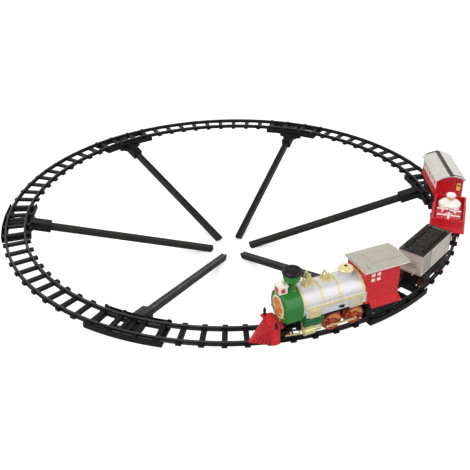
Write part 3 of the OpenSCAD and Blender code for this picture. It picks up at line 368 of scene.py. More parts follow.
@dataclass
class Studio:
    """Camera, floor and lamps round the set."""

    floor_z: float
    target: tuple[float, float, float] = (8.7, -129.9, -4.0)
    elevation: float = 0.5433
    roll: float = 0.0169
    distance: float = 1347.5
    lens: float = 53.84
    sensor: float = 36.0
    floor_side: float = 40000.0
    floor_lift: float = 0.42
    sky: float = 0.62

    def build(self) -> None:
        """Make everything that isn't the set itself."""
        self._camera()
        self._floor()
        self._lamps()
        self._world()
        log.info("studio ready")

    def _camera(self) -> None:
        """Aim the camera, with its slight roll."""
        back = Vector((0, -math.cos(self.elevation), math.sin(self.elevation)))
        right = Vector((1, 0, 0))
        up = Vector((0, math.sin(self.elevation), math.cos(self.elevation)))
        x_axis = right * math.cos(self.roll) - up * math.sin(self.roll)
        y_axis = right * math.sin(self.roll) + up * math.cos(self.roll)
        data = bpy.data.cameras.new("camera")
        data.lens = self.lens
        data.sensor_width = self.sensor
        data.clip_end = 100
        camera = bpy.data.objects.new("camera", data)
        bpy.context.scene.collection.objects.link(camera)
        camera.matrix_world = Matrix.Translation((Vector(self.target) + back * self.distance) * MM) @ Matrix(
            (x_axis, y_axis, back)).transposed().to_4x4()
        bpy.context.scene.camera = camera

    def _floor(self) -> None:
        """Lay a pale floor that shows white, keeps the set's shadow and is greyer in reflections."""
        bpy.ops.mesh.primitive_plane_add(size=self.floor_side * MM, location=(0, 0, self.floor_z))
        floor = bpy.context.active_object
        floor.name = "floor"
        mat = bpy.data.materials.new("studio_floor")
        mat.use_nodes = True
        tree = mat.node_tree
        tree.nodes.clear()
        rays = add_node(tree, "ShaderNodeLightPath").outputs
        seen = calculate(tree, "MAXIMUM", rays["Is Camera Ray"], rays["Is Transmission Ray"])
        papers = {6: linear("#E4E4E4"), 7: linear("#8C8C8C")}
        tone = add_node(tree, "ShaderNodeMix", {"data_type": "RGBA", **papers}, {0: rays["Is Glossy Ray"]})
        paper = add_node(tree, "ShaderNodeBsdfDiffuse", {}, {"Color": tone.outputs[2]})
        lift = add_node(tree, "ShaderNodeEmission", {"Color": (1, 1, 1, 1)},
                        {"Strength": calculate(tree, "MULTIPLY", seen, self.floor_lift)})
        both = add_node(tree, "ShaderNodeAddShader", {}, {0: paper.outputs[0], 1: lift.outputs[0]})
        add_node(tree, "ShaderNodeOutputMaterial", {}, {"Surface": both.outputs[0]})
        floor.data.materials.append(mat)

    def _lamps(self) -> None:
        """Hang three large soft lamps."""
        for name, place, size, watts in (
            ("key_lamp", (-1100, -1300, 1900), 1600, 26),
            ("fill_lamp", (1700, -900, 1200), 1500, 12),
            ("top_lamp", (300, 900, 2100), 1800, 16),
        ):
            data = bpy.data.lights.new(name, "AREA")
            data.size = size * MM
            data.energy = watts
            lamp = bpy.data.objects.new(name, data)
            bpy.context.scene.collection.objects.link(lamp)
            lamp.visible_glossy = name != "top_lamp"
            spot = Vector(place) * MM
            lamp.matrix_world = Matrix.Translation(spot) @ spot.to_track_quat("Z", "Y").to_matrix().to_4x4()

    def _world(self) -> None:
        """Light the set from a white sky, which reflects bright near the horizon and dark overhead."""
        world = bpy.data.worlds.new("white_sky")
        world.use_nodes = True
        tree = world.node_tree
        tree.nodes.clear()
        rays = add_node(tree, "ShaderNodeLightPath").outputs
        seen = calculate(tree, "MAXIMUM", rays["Is Camera Ray"], rays["Is Transmission Ray"])
        diffuse = add_node(tree, "ShaderNodeMapRange", {1: 0.0, 2: 1.0, 3: self.sky, 4: 1.0}, {0: seen})
        ray = add_node(tree, "ShaderNodeNewGeometry").outputs["Incoming"]
        drop = add_node(tree, "ShaderNodeSeparateXYZ", {}, {0: ray}).outputs[2]
        steepness, change = {1: -0.7, 2: 0.0}, {3: -0.56, 4: 0.7}
        shift = add_node(tree, "ShaderNodeMapRange", {**steepness, **change}, {0: drop})
        shine = rays["Is Glossy Ray"]
        strength = calculate(tree, "MULTIPLY_ADD", shine, shift.outputs[0], diffuse.outputs[0])
        sky = add_node(tree, "ShaderNodeBackground", {"Color": (1, 1, 1, 1)}, {"Strength": strength})
        add_node(tree, "ShaderNodeOutputWorld", {}, {"Surface": sky.outputs[0]})
        bpy.context.scene.world = world


# ---- the CAD nodes' finishes


@dataclass
class Dresser:
    """Gives each CAD node the finish of its slot, with the paints that some nodes have on top."""

    frame: dict
    places: dict[str, Place]
    painted: dict[str, tuple[str, tuple[Zone, ...]]] = field(default_factory=dict)

    def dress(self) -> None:
        """Give every CAD node a material in its slots."""
        slot_of = {s["node"]: s["material_slot"] for s in self.frame["record"]["subparts"]}
        made: dict[str, bpy.types.Material] = {}
        for name, node in self.frame["nodes"].items():
            slot = slot_of[name]
            if name in self.painted:
                vehicle, zones = self.painted[name]
                base = FINISH_OF_SLOT[slot]
                values = {**base.__dict__, "name": f"{base.name}_{name}", "zones": zones}
                mat = Finish(**values).material(self.places[vehicle])
            else:
                if slot not in made:
                    made[slot] = FINISH_OF_SLOT[slot].material()
                mat = made[slot]
            node.data.materials.clear()
            node.data.materials.append(mat)
        log.info("dressed %d nodes", len(self.frame["nodes"]))


# ---- the bench


def local_box(node: str, place: Place) -> tuple[Vector, Vector]:
    """Return a CAD node's lowest and highest corners in a place's own millimetres."""
    inverse = place.matrix().inverted()
    points = [inverse @ v.co for v in bpy.data.objects[node].data.vertices]
    low = Vector(min(p[i] for p in points) for i in range(3))
    high = Vector(max(p[i] for p in points) for i in range(3))
    return low, high


def deselect() -> None:
    """Deselect every object."""
    bpy.ops.object.select_all(action="DESELECT")


@dataclass
class Bench:
    """A workbench for one vehicle: its pieces are shaped in its own millimetres, then put in place."""

    place: Place
    body: str

    def block(self, low: tuple, high: tuple) -> bpy.types.Object:
        """Start a piece from a cube stretched between two corners."""
        deselect()
        bpy.ops.mesh.primitive_cube_add(size=1, location=(Vector(low) + Vector(high)) / 2)
        bpy.context.active_object.scale = Vector(high) - Vector(low)
        return self._settled()

    def bar(self, start: tuple, end: tuple, radius: float, sides: int = 16) -> bpy.types.Object:
        """Start a piece from a round bar between two points."""
        deselect()
        way = Vector(end) - Vector(start)
        bpy.ops.mesh.primitive_cylinder_add(
            vertices=sides, radius=radius, depth=way.length, location=(Vector(start) + Vector(end)) / 2,
            rotation=way.to_track_quat("Z", "Y").to_euler())
        return self._settled()

    def spike(self, start: tuple, end: tuple, start_radius: float, end_radius: float) -> bpy.types.Object:
        """Start a piece from a round bar that changes its radius from one point to the other."""
        deselect()
        way = Vector(end) - Vector(start)
        bpy.ops.mesh.primitive_cone_add(
            vertices=10, radius1=start_radius, radius2=end_radius, depth=way.length,
            location=(Vector(start) + Vector(end)) / 2, rotation=way.to_track_quat("Z", "Y").to_euler())
        return self._settled()

    def ball(self, centre: tuple, radius: float, segments: int = 16, rings: int = 8) -> bpy.types.Object:
        """Start a piece from a ball."""
        deselect()
        bpy.ops.mesh.primitive_uv_sphere_add(
            segments=segments, ring_count=rings, radius=radius, location=centre)
        return self._settled()

    def ring(self, centre: tuple, radius: float, thickness: float, axis: tuple,
             sides: int = 48) -> bpy.types.Object:
        """Start a piece from a ring of round wire about an axis."""
        deselect()
        bpy.ops.mesh.primitive_torus_add(
            major_radius=radius, minor_radius=thickness, major_segments=sides, minor_segments=10,
            location=centre, rotation=Vector(axis).to_track_quat("Z", "Y").to_euler())
        return self._settled()

    def _settled(self) -> bpy.types.Object:
        """Apply the transforms of the shape that was just added, and return it."""
        bpy.ops.object.transform_apply(location=True, rotation=True, scale=True)
        return bpy.context.active_object

    def pick(self, obj: bpy.types.Object, facing: tuple, share: float = 0.9, both_ways: bool = False) -> None:
        """Enter edit mode with only the faces selected that look one way.

        Args:
            obj: The object to edit.
            facing: The direction that the faces look in.
            share: How close a face's normal has to be to that direction, as a cosine.
            both_ways: Whether the faces that look the opposite way are selected too.
        """
        bpy.context.view_layer.objects.active = obj
        bpy.ops.object.mode_set(mode="EDIT")
        bpy.ops.mesh.select_mode(type="FACE")
        bpy.ops.mesh.select_all(action="DESELECT")
        bpy.ops.object.mode_set(mode="OBJECT")
        way = Vector(facing).normalized()
        for face in obj.data.polygons:
            cosine = face.normal.dot(way)
            face.select = (abs(cosine) if both_ways else cosine) > share
        bpy.ops.object.mode_set(mode="EDIT")

    def leave(self) -> None:
        """Leave edit mode."""
        bpy.ops.object.mode_set(mode="OBJECT")

    def soften(self, obj: bpy.types.Object, width: float, segments: int = 2, angle: float = 30.0) -> None:
        """Round a piece's edges with a bevel."""
        bpy.context.view_layer.objects.active = obj
        bevel = obj.modifiers.new("edges", "BEVEL")
        bevel.width = width
        bevel.segments = segments
        bevel.angle_limit = math.radians(angle)
        bpy.ops.object.modifier_apply(modifier=bevel.name)

    def join(self, parts: list) -> bpy.types.Object:
        """Join several objects into one."""
        deselect()
        for part in parts:
            part.select_set(True)
        bpy.context.view_layer.objects.active = parts[0]
        bpy.ops.object.join()
        return bpy.context.active_object

    def copies(self, model: bpy.types.Object, placings: list) -> bpy.types.Object:
        """Copy a model to each placing and join the copies; the model itself goes.

        Args:
            model: What is copied.
            placings: A matrix for each copy.

        Returns:
            The joined copies.
        """
        made = []
        for placing in placings:
            mesh = model.data.copy()
            mesh.transform(placing)
            copy = bpy.data.objects.new(model.name, mesh)
            bpy.context.scene.collection.objects.link(copy)
            made.append(copy)
        bpy.data.objects.remove(model)
        return self.join(made)

    def finish(self, obj: bpy.types.Object, name: str, look: Finish, slot: str,
               smooth: float = 35.0) -> bpy.types.Object:
        """Put a shaped piece in place, give it its finish and let it ride on the bench's body.

        Args:
            obj: The shaped piece, in the place's millimetres.
            name: The piece's name.
            look: Its finish.
            slot: The record's material slot; not used.
            smooth: The angle in degrees under which neighbouring faces shade smoothly.

        Returns:
            The finished piece.
        """
        deselect()
        obj.select_set(True)
        bpy.context.view_layer.objects.active = obj
        bpy.ops.object.transform_apply(location=True, rotation=True, scale=True)
        bpy.ops.object.mode_set(mode="EDIT")
        bpy.ops.mesh.select_all(action="SELECT")
        bpy.ops.mesh.remove_doubles(threshold=0.001)
        bpy.ops.mesh.normals_make_consistent(inside=False)
        self.leave()
        bpy.ops.object.shade_smooth_by_angle(angle=math.radians(smooth))
        obj.data.transform(self.place.matrix())
        obj.name = name
        obj.data.materials.clear()
        obj.data.materials.append(look.material(self.place))
        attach(obj, self.body)
        log.info("made %s: %d faces", name, len(obj.data.polygons))
        return obj


# ---- the locomotive


@dataclass
class LocomotiveTrim:
    """Small pieces on the locomotive's boiler, door, lamp and cab."""

    bench: Bench
    middle_bands: tuple[int, int] = (16, 46)
    band_rise: float = 1.0
    rivet_radius: float = 0.7
    rivet_reach: int = 72
    rivet_step: int = 12
    strap_z: float = 6.5
    clamp_circle: float = 21.2
    hand_angles: tuple[int, int] = (25, 145)
    hand_length: float = 6.0
    lens_stand: float = 3.2
    mesh_rings: tuple[float, ...] = (0.4, 0.53, 0.66)
    mesh_bars: int = 12
    mesh_span: tuple[float, float] = (0.3, 0.72)
    bowl_drop: float = 5.5
    bowl_half_height: float = 13.5
    neck_drop: float = 18.6
    pane_x: tuple[int, int] = (-42, -52)
    pane_z: tuple[int, int] = (76, 85)
    pane_size: tuple[float, float] = (7.0, 6.0)
    cab_flare: float = 4.0
    cow_bars: int = 6
    cow_wing: tuple[float, float] = (34.0, 20.0)
    cow_head: tuple[float, float, float] = (30.4, 29.3, 12.0)

    def build(self) -> None:
        """Make the trim."""
        self._measure()
        self._band_rivets()
        self._door_fittings()
        self._lamp_bezel()
        self._cap_rings()
        self._chimney_bowl()
        self._window_panes()
        self._cowcatcher_bars()

    def _measure(self) -> None:
        """Take the sizes of the pieces that the trim stands on."""
        place = self.bench.place
        self.boiler_low, self.boiler_high = local_box("boiler", place)
        self.cab_low, self.cab_high = local_box("cab", place)
        self.door_low, self.door_high = local_box("smokebox_door", place)
        self.axis_z = (self.door_low.z + self.door_high.z) / 2
        self.lens_low, self.lens_high = local_box("headlamp_lens", place)
        self.cap_low, self.cap_high = local_box("chimney_cap", place)
        self.cow_low, self.cow_high = local_box("cowcatcher", place)
        self.boiler_radius = self.boiler_high.z - self.axis_z

    def _on_barrel(self, x: float, angle: float, radius: float) -> Matrix:
        """Return the placing of a small fitting that stands on the barrel, at an angle from its crown."""
        turn = Matrix.Rotation(angle, 4, "X")
        return Matrix.Translation((x, 0, self.axis_z)) @ turn @ Matrix.Translation((0, 0, radius))

    def _band_rivets(self) -> None:
        """Set a row of domed rivets along each boiler band."""
        rivet = self.bench.ball((0, 0, 0), self.rivet_radius, 8, 6)
        rivet.scale = (1, 1, 0.6)
        bpy.ops.object.transform_apply(scale=True)
        bands = (self.boiler_low.x + 2, *self.middle_bands, self.boiler_high.x - 2)
        placings = [self._on_barrel(x, math.radians(a), self.boiler_radius + self.band_rise)
                    for x in bands for a in range(-self.rivet_reach, self.rivet_reach + 1, self.rivet_step)]
        rivets = self.bench.copies(rivet, placings)
        self.bench.finish(rivets, "boiler_band_rivets", TRIM_GOLD, "trim_gold", 60)

    def _door_fittings(self) -> None:
        """Add the hinge straps, the clamps and the handle of the smokebox door."""
        parts = []
        front = self.door_high.x
        rim = self.door_low.x + 3
        for z in (self.axis_z - self.strap_z, self.axis_z + self.strap_z):
            strap = self.bench.block((rim - 0.6, -1, z - 1.1), (rim + 1.4, 20, z + 1.1))
            self.bench.pick(strap, (0, -1, 0))
            bpy.ops.transform.resize(value=(1, 1, 0.5))
            self.bench.leave()
            self.bench.soften(strap, 0.4)
            parts.append(strap)
        for step in range(8):
            angle = math.radians(22.5 + 45 * step)
            y, z = self.clamp_circle * math.sin(angle), self.axis_z + self.clamp_circle * math.cos(angle)
            parts.append(self.bench.ball((rim, y, z), 1.2, 12, 8))
        for angle in map(math.radians, self.hand_angles):
            arm = Vector((0, math.cos(angle), math.sin(angle))) * self.hand_length
            hub = Vector((front - 0.4, 0, self.axis_z))
            parts.append(self.bench.bar(hub - arm * 0.1, hub + arm, 0.7, 10))
            parts.append(self.bench.ball(hub + arm, 1.1, 10, 8))
        self.bench.finish(self.bench.join(parts), "smokebox_door_fittings", TRIM_GOLD, "trim_gold")

    def _lamp_bezel(self) -> None:
        """Ring the lamp's lens."""
        middle = (self.lens_low + self.lens_high) / 2
        bezel = self.bench.ring((self.lens_low.x + self.lens_stand, 0, middle.z), 6.0, 0.7, (1, 0, 0), 40)
        self.bench.finish(bezel, "headlamp_bezel", TRIM_GOLD, "trim_gold", 60)

    def _cap_rings(self) -> None:
        """Raise rings of wire mesh on the chimney's cap, with bars across."""
        middle = (self.cap_low + self.cap_high) / 2
        rim = self.cap_high.x - middle.x
        centre = Vector((middle.x, 0, self.cap_high.z - 0.7))
        parts = [self.bench.ring(centre, rim * share, 0.45, (0, 0, 1), 48) for share in self.mesh_rings]
        for step in range(self.mesh_bars):
            turn = Matrix.Rotation(math.radians(360 / self.mesh_bars * step), 3, "Z")
            inner, outer = (centre + turn @ Vector((rim * share, 0, 0)) for share in self.mesh_span)
            parts.append(self.bench.bar(inner, outer, 0.4, 8))
        self.bench.finish(self.bench.join(parts), "chimney_cap_rings", CAP_BLACK, "cap_black", 60)

    def _chimney_bowl(self) -> None:
        """Round the chimney's bowl, with a bead under its cap and a collar at its neck."""
        middle = (self.cap_low + self.cap_high) / 2
        girth = self.cap_high.x - middle.x - 1.5
        deselect()
        bpy.ops.mesh.primitive_uv_sphere_add(segments=64, ring_count=48, radius=1, location=(0, 0, 0))
        bowl = bpy.context.active_object
        for v in bowl.data.vertices:
            height = self.cap_low.z + min(self.bowl_half_height * v.co.z - self.bowl_drop, 0.3)
            v.co = Vector((middle.x + girth * v.co.x, girth * v.co.y, height))
        bead = self.bench.ring((middle.x, 0, self.cap_low.z - 1.2), girth - 0.2, 0.7, (0, 0, 1), 64)
        collar = self.bench.ring((middle.x, 0, self.cap_low.z - self.neck_drop), 6.2, 0.9, (0, 0, 1), 48)
        chimney = self.bench.join([bowl, bead, collar])
        self.bench.finish(chimney, "chimney_bowl", SMOKEBOX_GREEN, "smokebox_green", 60)

    def _window_panes(self) -> None:
        """Set four framed panes in each side of the cab."""
        parts = []
        half, gap = self.cab_half, 0.3
        width, height = self.pane_size
        for side, x, z in itertools.product((-1, 1), self.pane_x, self.pane_z):
            low, high = sorted((side * (half - 0.5), side * (half + 0.3)))
            pane = self.bench.block((x + gap, low, z + gap), (x + width - gap, high, z + height - gap))
            self.bench.pick(pane, (0, side, 0))
            bpy.ops.mesh.inset(thickness=0.9, depth=0)
            bpy.ops.transform.translate(value=(0, -side * 0.4, 0))
            self.bench.leave()
            self.bench.soften(pane, 0.2)
            parts.append(pane)
        self.bench.finish(self.bench.join(parts), "cab_window_panes", PANE_CREAM, "lamp_cream")

    def _cowcatcher_bars(self) -> None:
        """Fan tapering bars over the cowcatcher's three faces, from the deck down to the tip and the foot."""
        tip = Vector((self.cow_high.x, 0, self.cow_low.z + 4.4))
        head_x, head_z = tip.x - self.cow_head[0], self.cow_low.z + self.cow_head[1]
        parts = []
        for n in range(-2, 3):
            y = n * self.cow_head[2] / 3
            parts.append(self.bench.spike((head_x, y, head_z), tip + Vector((-1.6, y * 0.12, 0.6)), 0.6, 0.8))
        for side in (-1, 1):
            for n in range(self.cow_bars):
                share = (n + 0.5) / self.cow_bars
                sweep = side * (share * self.cow_wing[1] + 0.5)
                foot = tip + Vector((-share * self.cow_wing[0], sweep, -3.1 * share))
                head = (head_x - 0.5 * n, side * (self.cow_head[2] + 0.2 * n), head_z)
                parts.append(self.bench.spike(head, foot, 0.55, 1.1))
        self.bench.finish(self.bench.join(parts), "cowcatcher_bars", BODY_RED, "body_red", 60)

    @property
    def cab_half(self) -> float:
        """Half the width of the cab over its upright walls, without the flare of its skirt."""
        return (self.cab_high.y - self.cab_low.y) / 2 - self.cab_flare


@dataclass
class PilotBeam:
    """The dark channel that runs below the pilot truck's outer plate."""

    bench: Bench
    low: tuple[float, float, float] = (-24.0, 21.4, 1.2)
    high: tuple[float, float, float] = (12.0, 22.8, 4.8)
    bolts: int = 4
    bolt_pitch: float = 9.0

    def build(self) -> None:
        """Shape the channel's web, its two flanges and its bolt heads."""
        (x0, y0, z0), (x1, y1, z1) = self.low, self.high
        web = self.bench.block(self.low, self.high)
        self.bench.soften(web, 0.3)
        foot = self.bench.block((x0, y1 - 0.4, z0), (x1, y1 + 0.6, z0 + 0.8))
        lip = self.bench.block((x0, y1 - 0.4, z1 - 0.8), (x1, y1 + 0.6, z1))
        bolts = []
        for n in range(self.bolts):
            x, z = x0 + 4 + self.bolt_pitch * n, (z0 + z1) / 2
            bolts.append(self.bench.bar((x, y0, z), (x, y1 + 0.5, z), 0.8, 12))
        self.bench.finish(self.bench.join([web, foot, lip, *bolts]), "pilot_beam", FRAME_BLACK, "frame_black")


# ---- the tender's coal


@dataclass
class CoalHeap:
    """Loose-looking moulded lumps over the tender's coal."""

    bench: Bench
    rows: int = 3
    columns: int = 15
    lump: float = 3.4
    row_pitch: float = 3.4
    end_margin: float = 7.0
    sink: float = 3.0
    fall: float = 0.04

    def build(self) -> None:
        """Model three lumps and copy them over the heap."""
        low, high = local_box("coal_load", self.bench.place)
        pitch = (high.x - low.x - 2 * self.end_margin) / (self.columns - 1)
        models = [self._lump(n) for n in range(3)]
        heaps = []
        for n, model in enumerate(models):
            placings = []
            for column in range(self.columns):
                for row in range(-self.rows, self.rows + 1):
                    if (column + row) % 3 != n:
                        continue
                    x = low.x + self.end_margin + column * pitch + 1.3 * math.sin(7 * row + column)
                    y = row * self.row_pitch + 0.8 * math.cos(5 * column + row)
                    z = high.z - self.sink - self.fall * y * y + 0.5 * math.sin(3 * column + 5 * row)
                    turn = Matrix.Rotation(1.9 * column + 2.3 * row, 4, "Z")
                    tilt = Matrix.Rotation(column + 0.7 * row, 4, "X")
                    size = Matrix.Scale(0.82 + 0.22 * math.sin(11 * column + 3 * row), 4)
                    placings.append(Matrix.Translation((x, y, z)) @ turn @ tilt @ size)
            heaps.append(self.bench.copies(model, placings))
        self.bench.finish(self.bench.join(heaps), "coal_lumps", COAL_BLACK, "coal_black", 20)

    def _lump(self, number: int) -> bpy.types.Object:
        """Knock a ball into an angular lump."""
        deselect()
        bpy.ops.mesh.primitive_ico_sphere_add(subdivisions=2, radius=self.lump, location=(0, 0, 0))
        lump = bpy.context.active_object
        for v in lump.data.vertices:
            push = math.sin(3.1 * v.co.x + number) * math.cos(2.3 * v.co.y - number)
            v.co *= 1 + 0.16 * (push + 0.6 * math.sin(4 * v.co.z))
            v.co.z *= 0.75
        return lump


# ---- the gift wagon's load


@dataclass
class GiftBundle:
    """A tied sack and wrapped parcels in the gift wagon."""

    bench: Bench
    sack_x: float = -14.0
    sack_half: tuple[float, float] = (19.5, 20.5)
    neck_drop: float = 9.0
    neck_share: float = 0.84
    ribbon_lift: float = 0.45
    ribbon_half: float = 1.8

    def build(self) -> None:
        """Make the sack, its cord and the parcels, in place of the plain load."""
        low, high = local_box("gift_load", self.bench.place)
        self.floor = low.z
        sack = self._sack(high.z)
        cord = self._cord(high.z)
        parcels = self._parcels()
        ribbons = self._ribbons()
        for piece in (sack, cord, parcels, ribbons):
            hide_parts("gift_load")

    def _sack(self, top: float) -> bpy.types.Object:
        """Shape a full sack with a gathered neck."""
        deselect()
        bpy.ops.mesh.primitive_uv_sphere_add(segments=64, ring_count=40, radius=1, location=(0, 0, 0))
        sack = bpy.context.active_object
        neck_z = top - self.neck_drop
        for v in sack.data.vertices:
            lean = math.atan2(v.co.y, v.co.x)
            height = (v.co.z + 1) / 2
            flat = math.hypot(v.co.x, v.co.y)
            if height < self.neck_share:
                body = height / self.neck_share
                girth = math.sin(math.pi * (0.10 + 0.80 * body)) ** 0.55
                ripple = 0.05 * body * body * math.sin(11 * lean + 2 * body)
                folds = 1 + ripple + 0.03 * math.sin(3 * lean + 1)
                pinch = 1 - 0.72 * max(0.0, (body - 0.62) / 0.38) ** 1.6
                out = girth * folds * pinch if flat > 0.001 else 0
                z = self.floor + (neck_z - self.floor) * body
                v.co = Vector((self.sack_half[0] * out * math.cos(lean),
                               self.sack_half[1] * out * math.sin(lean), z))
            else:
                spread = (height - self.neck_share) / (1 - self.neck_share)
                frill = 5.4 + 3.6 * math.sin(math.pi * min(spread * 1.2, 1)) * (1 + 0.22 * math.sin(9 * lean))
                shrink = 1 if spread < 0.75 else max(0.0, (1 - spread) / 0.25)
                v.co = Vector((frill * shrink * math.cos(lean), frill * shrink * math.sin(lean),
                               neck_z + 8.6 * min(spread * 1.35, 1) - 2.2 * (1 - shrink)))
            v.co.x += self.sack_x
        smooth = sack.modifiers.new("cloth_folds", "SUBSURF")
        smooth.levels = smooth.render_levels = 1
        bpy.ops.object.modifier_apply(modifier=smooth.name)
        return self.bench.finish(sack, "gift_sack", BUNDLE_WHITE, "bundle_white", 60)

    def _cord(self, top: float) -> bpy.types.Object:
        """Tie the sack's neck with an orange cord and a bow."""
        x, z = self.sack_x, top - self.neck_drop
        parts = [self.bench.ring((x, 0, z + lift), 6.0, 1.1, (0, 0, 1), 40) for lift in (-0.8, 0.9)]
        for side in (-1, 1):
            loop = self.bench.ring((x + 8.2, side * 4.6, z - 1.5), 3.6, 1.0, (1, 0, 0.4), 32)
            loop.scale = (1, 1, 0.8)
            bpy.ops.object.transform_apply(scale=True)
            parts.append(loop)
        parts.append(self.bench.ball((x + 7.4, 0, z), 2.0, 16, 10))
        return self.bench.finish(self.bench.join(parts), "gift_sack_cord", CORD_ORANGE, "door_orange", 60)

    def _parcel_boxes(self) -> list:
        """Return the corners of the parcels, which fill the wagon in front of the sack."""
        z = self.floor
        return [
            ((8, -21, z), (22, -2, z + 20.5)),
            ((8, 1, z), (22, 21, z + 18.5)),
            ((25, -20, z), (46, 20, z + 19)),
        ]

    def _parcels(self) -> bpy.types.Object:
        """Wrap the parcels in red paper, with soft edges."""
        parts = []
        for low, high in self._parcel_boxes():
            parcel = self.bench.block(low, high)
            self.bench.pick(parcel, (0, 0, 1))
            bpy.ops.mesh.inset(thickness=1.2, depth=0.5)
            self.bench.leave()
            self.bench.soften(parcel, 0.6, 3)
            parts.append(parcel)
        return self.bench.finish(self.bench.join(parts), "gift_parcels", PARCEL_RED, "body_red")

    def _ribbons(self) -> bpy.types.Object:
        """Lay white ribbons over the parcels."""
        parts = []
        lift, half = self.ribbon_lift, self.ribbon_half
        for low, high in self._parcel_boxes():
            x, y = (low[0] + high[0]) / 2, (low[1] + high[1]) / 2
            top = high[2] + lift + 0.5
            for start, end in (((low[0] - lift, y - half), (high[0] + lift, y + half)),
                               ((x - half, low[1] - lift), (x + half, high[1] + lift))):
                strip = self.bench.block((*start, low[2]), (*end, top))
                self.bench.soften(strip, 0.25)
                parts.append(strip)
            for side in (-1, 1):
                bow_at = (x, y + side * 3.0, high[2] + 2.2)
                parts.append(self.bench.ring(bow_at, 2.4, 0.7, (1, 0, 0.2), 24))
        return self.bench.finish(self.bench.join(parts), "gift_ribbons", BUNDLE_WHITE, "bundle_white")


# ---- the coach


@dataclass
class CoachTrim:
    """Window frames of the coach."""

    bench: Bench
    windows: int = 5
    end_margin: float = 6.0
    window: tuple[float, float] = (12.0, 13.0)
    sill: float = 50.0

    def build(self) -> None:
        """Make the frames."""
        low, high = local_box("coach_roof", self.bench.place)
        self.half_length = (high.x - low.x) / 2 - 4
        self.half_width = (high.y - low.y) / 2 - 2.9
        self._frames()

    def _frames(self) -> None:
        """Frame every window opening."""
        pitch = (2 * self.half_length - 2 * self.end_margin) / self.windows
        parts = []
        for side in (-1, 1):
            for n in range(self.windows):
                x = -self.half_length + self.end_margin + (n + 0.5) * pitch
                near, far = sorted((side * (self.half_width - 2.4), side * (self.half_width + 0.5)))
                frame = self.bench.block((x - self.window[0] / 2 - 1, near, self.sill - 1),
                                         (x + self.window[0] / 2 + 1, far, self.sill + self.window[1] + 1))
                self.bench.pick(frame, (0, 1, 0), both_ways=True)
                bpy.ops.mesh.inset(thickness=1.9, depth=0)
                bpy.ops.mesh.bridge_edge_loops()
                self.bench.leave()
                self.bench.soften(frame, 0.25)
                parts.append(frame)
        self.bench.finish(self.bench.join(parts), "coach_window_frames", PANE_CREAM, "lamp_cream")


# ---- the track's small fittings


@dataclass
class RailChairs:
    """The small chairs that hold the rails on the sleepers."""

    bench: Bench
    first_joint: float
    sleepers: int = 13
    sleeper_pitch: float = 4.5
    half_gauge: float = 18.0
    foot_half: float = 2.8

    def build(self) -> None:
        """Model one chair and copy it to both sides of each rail at each sleeper."""
        radius = self.bench.place.radius
        chair = self.bench.block((-2.2, -0.5, -3.7), (2.2, 2.2, -2.3))
        self.bench.pick(chair, (0, 0, 1))
        bpy.ops.transform.resize(value=(0.7, 0.6, 1))
        self.bench.leave()
        self.bench.soften(chair, 0.3, 1)
        reach = 360 / TRACK_SECTIONS
        margin = (reach - (self.sleepers - 1) * self.sleeper_pitch) / 2
        placings = []
        for section in range(TRACK_SECTIONS):
            for n in range(self.sleepers):
                angle = self.first_joint + math.radians(reach * section + margin + n * self.sleeper_pitch)
                turn = Matrix.Rotation(angle - self.bench.place.angle, 4, "Z")
                for rail in (-self.half_gauge, self.half_gauge):
                    for side in (-1, 1):
                        flip = Matrix.Rotation(0 if side > 0 else math.pi, 4, "Z")
                        at = Matrix.Translation((0, radius + rail + side * (self.foot_half - 1.4), 0))
                        placings.append(Matrix.Translation((0, -radius, 0)) @ turn @ at @ flip)
        self.bench.finish(self.bench.copies(chair, placings), "rail_chairs", TRACK_BLACK, "track_black")


# ---- paints on the CAD nodes


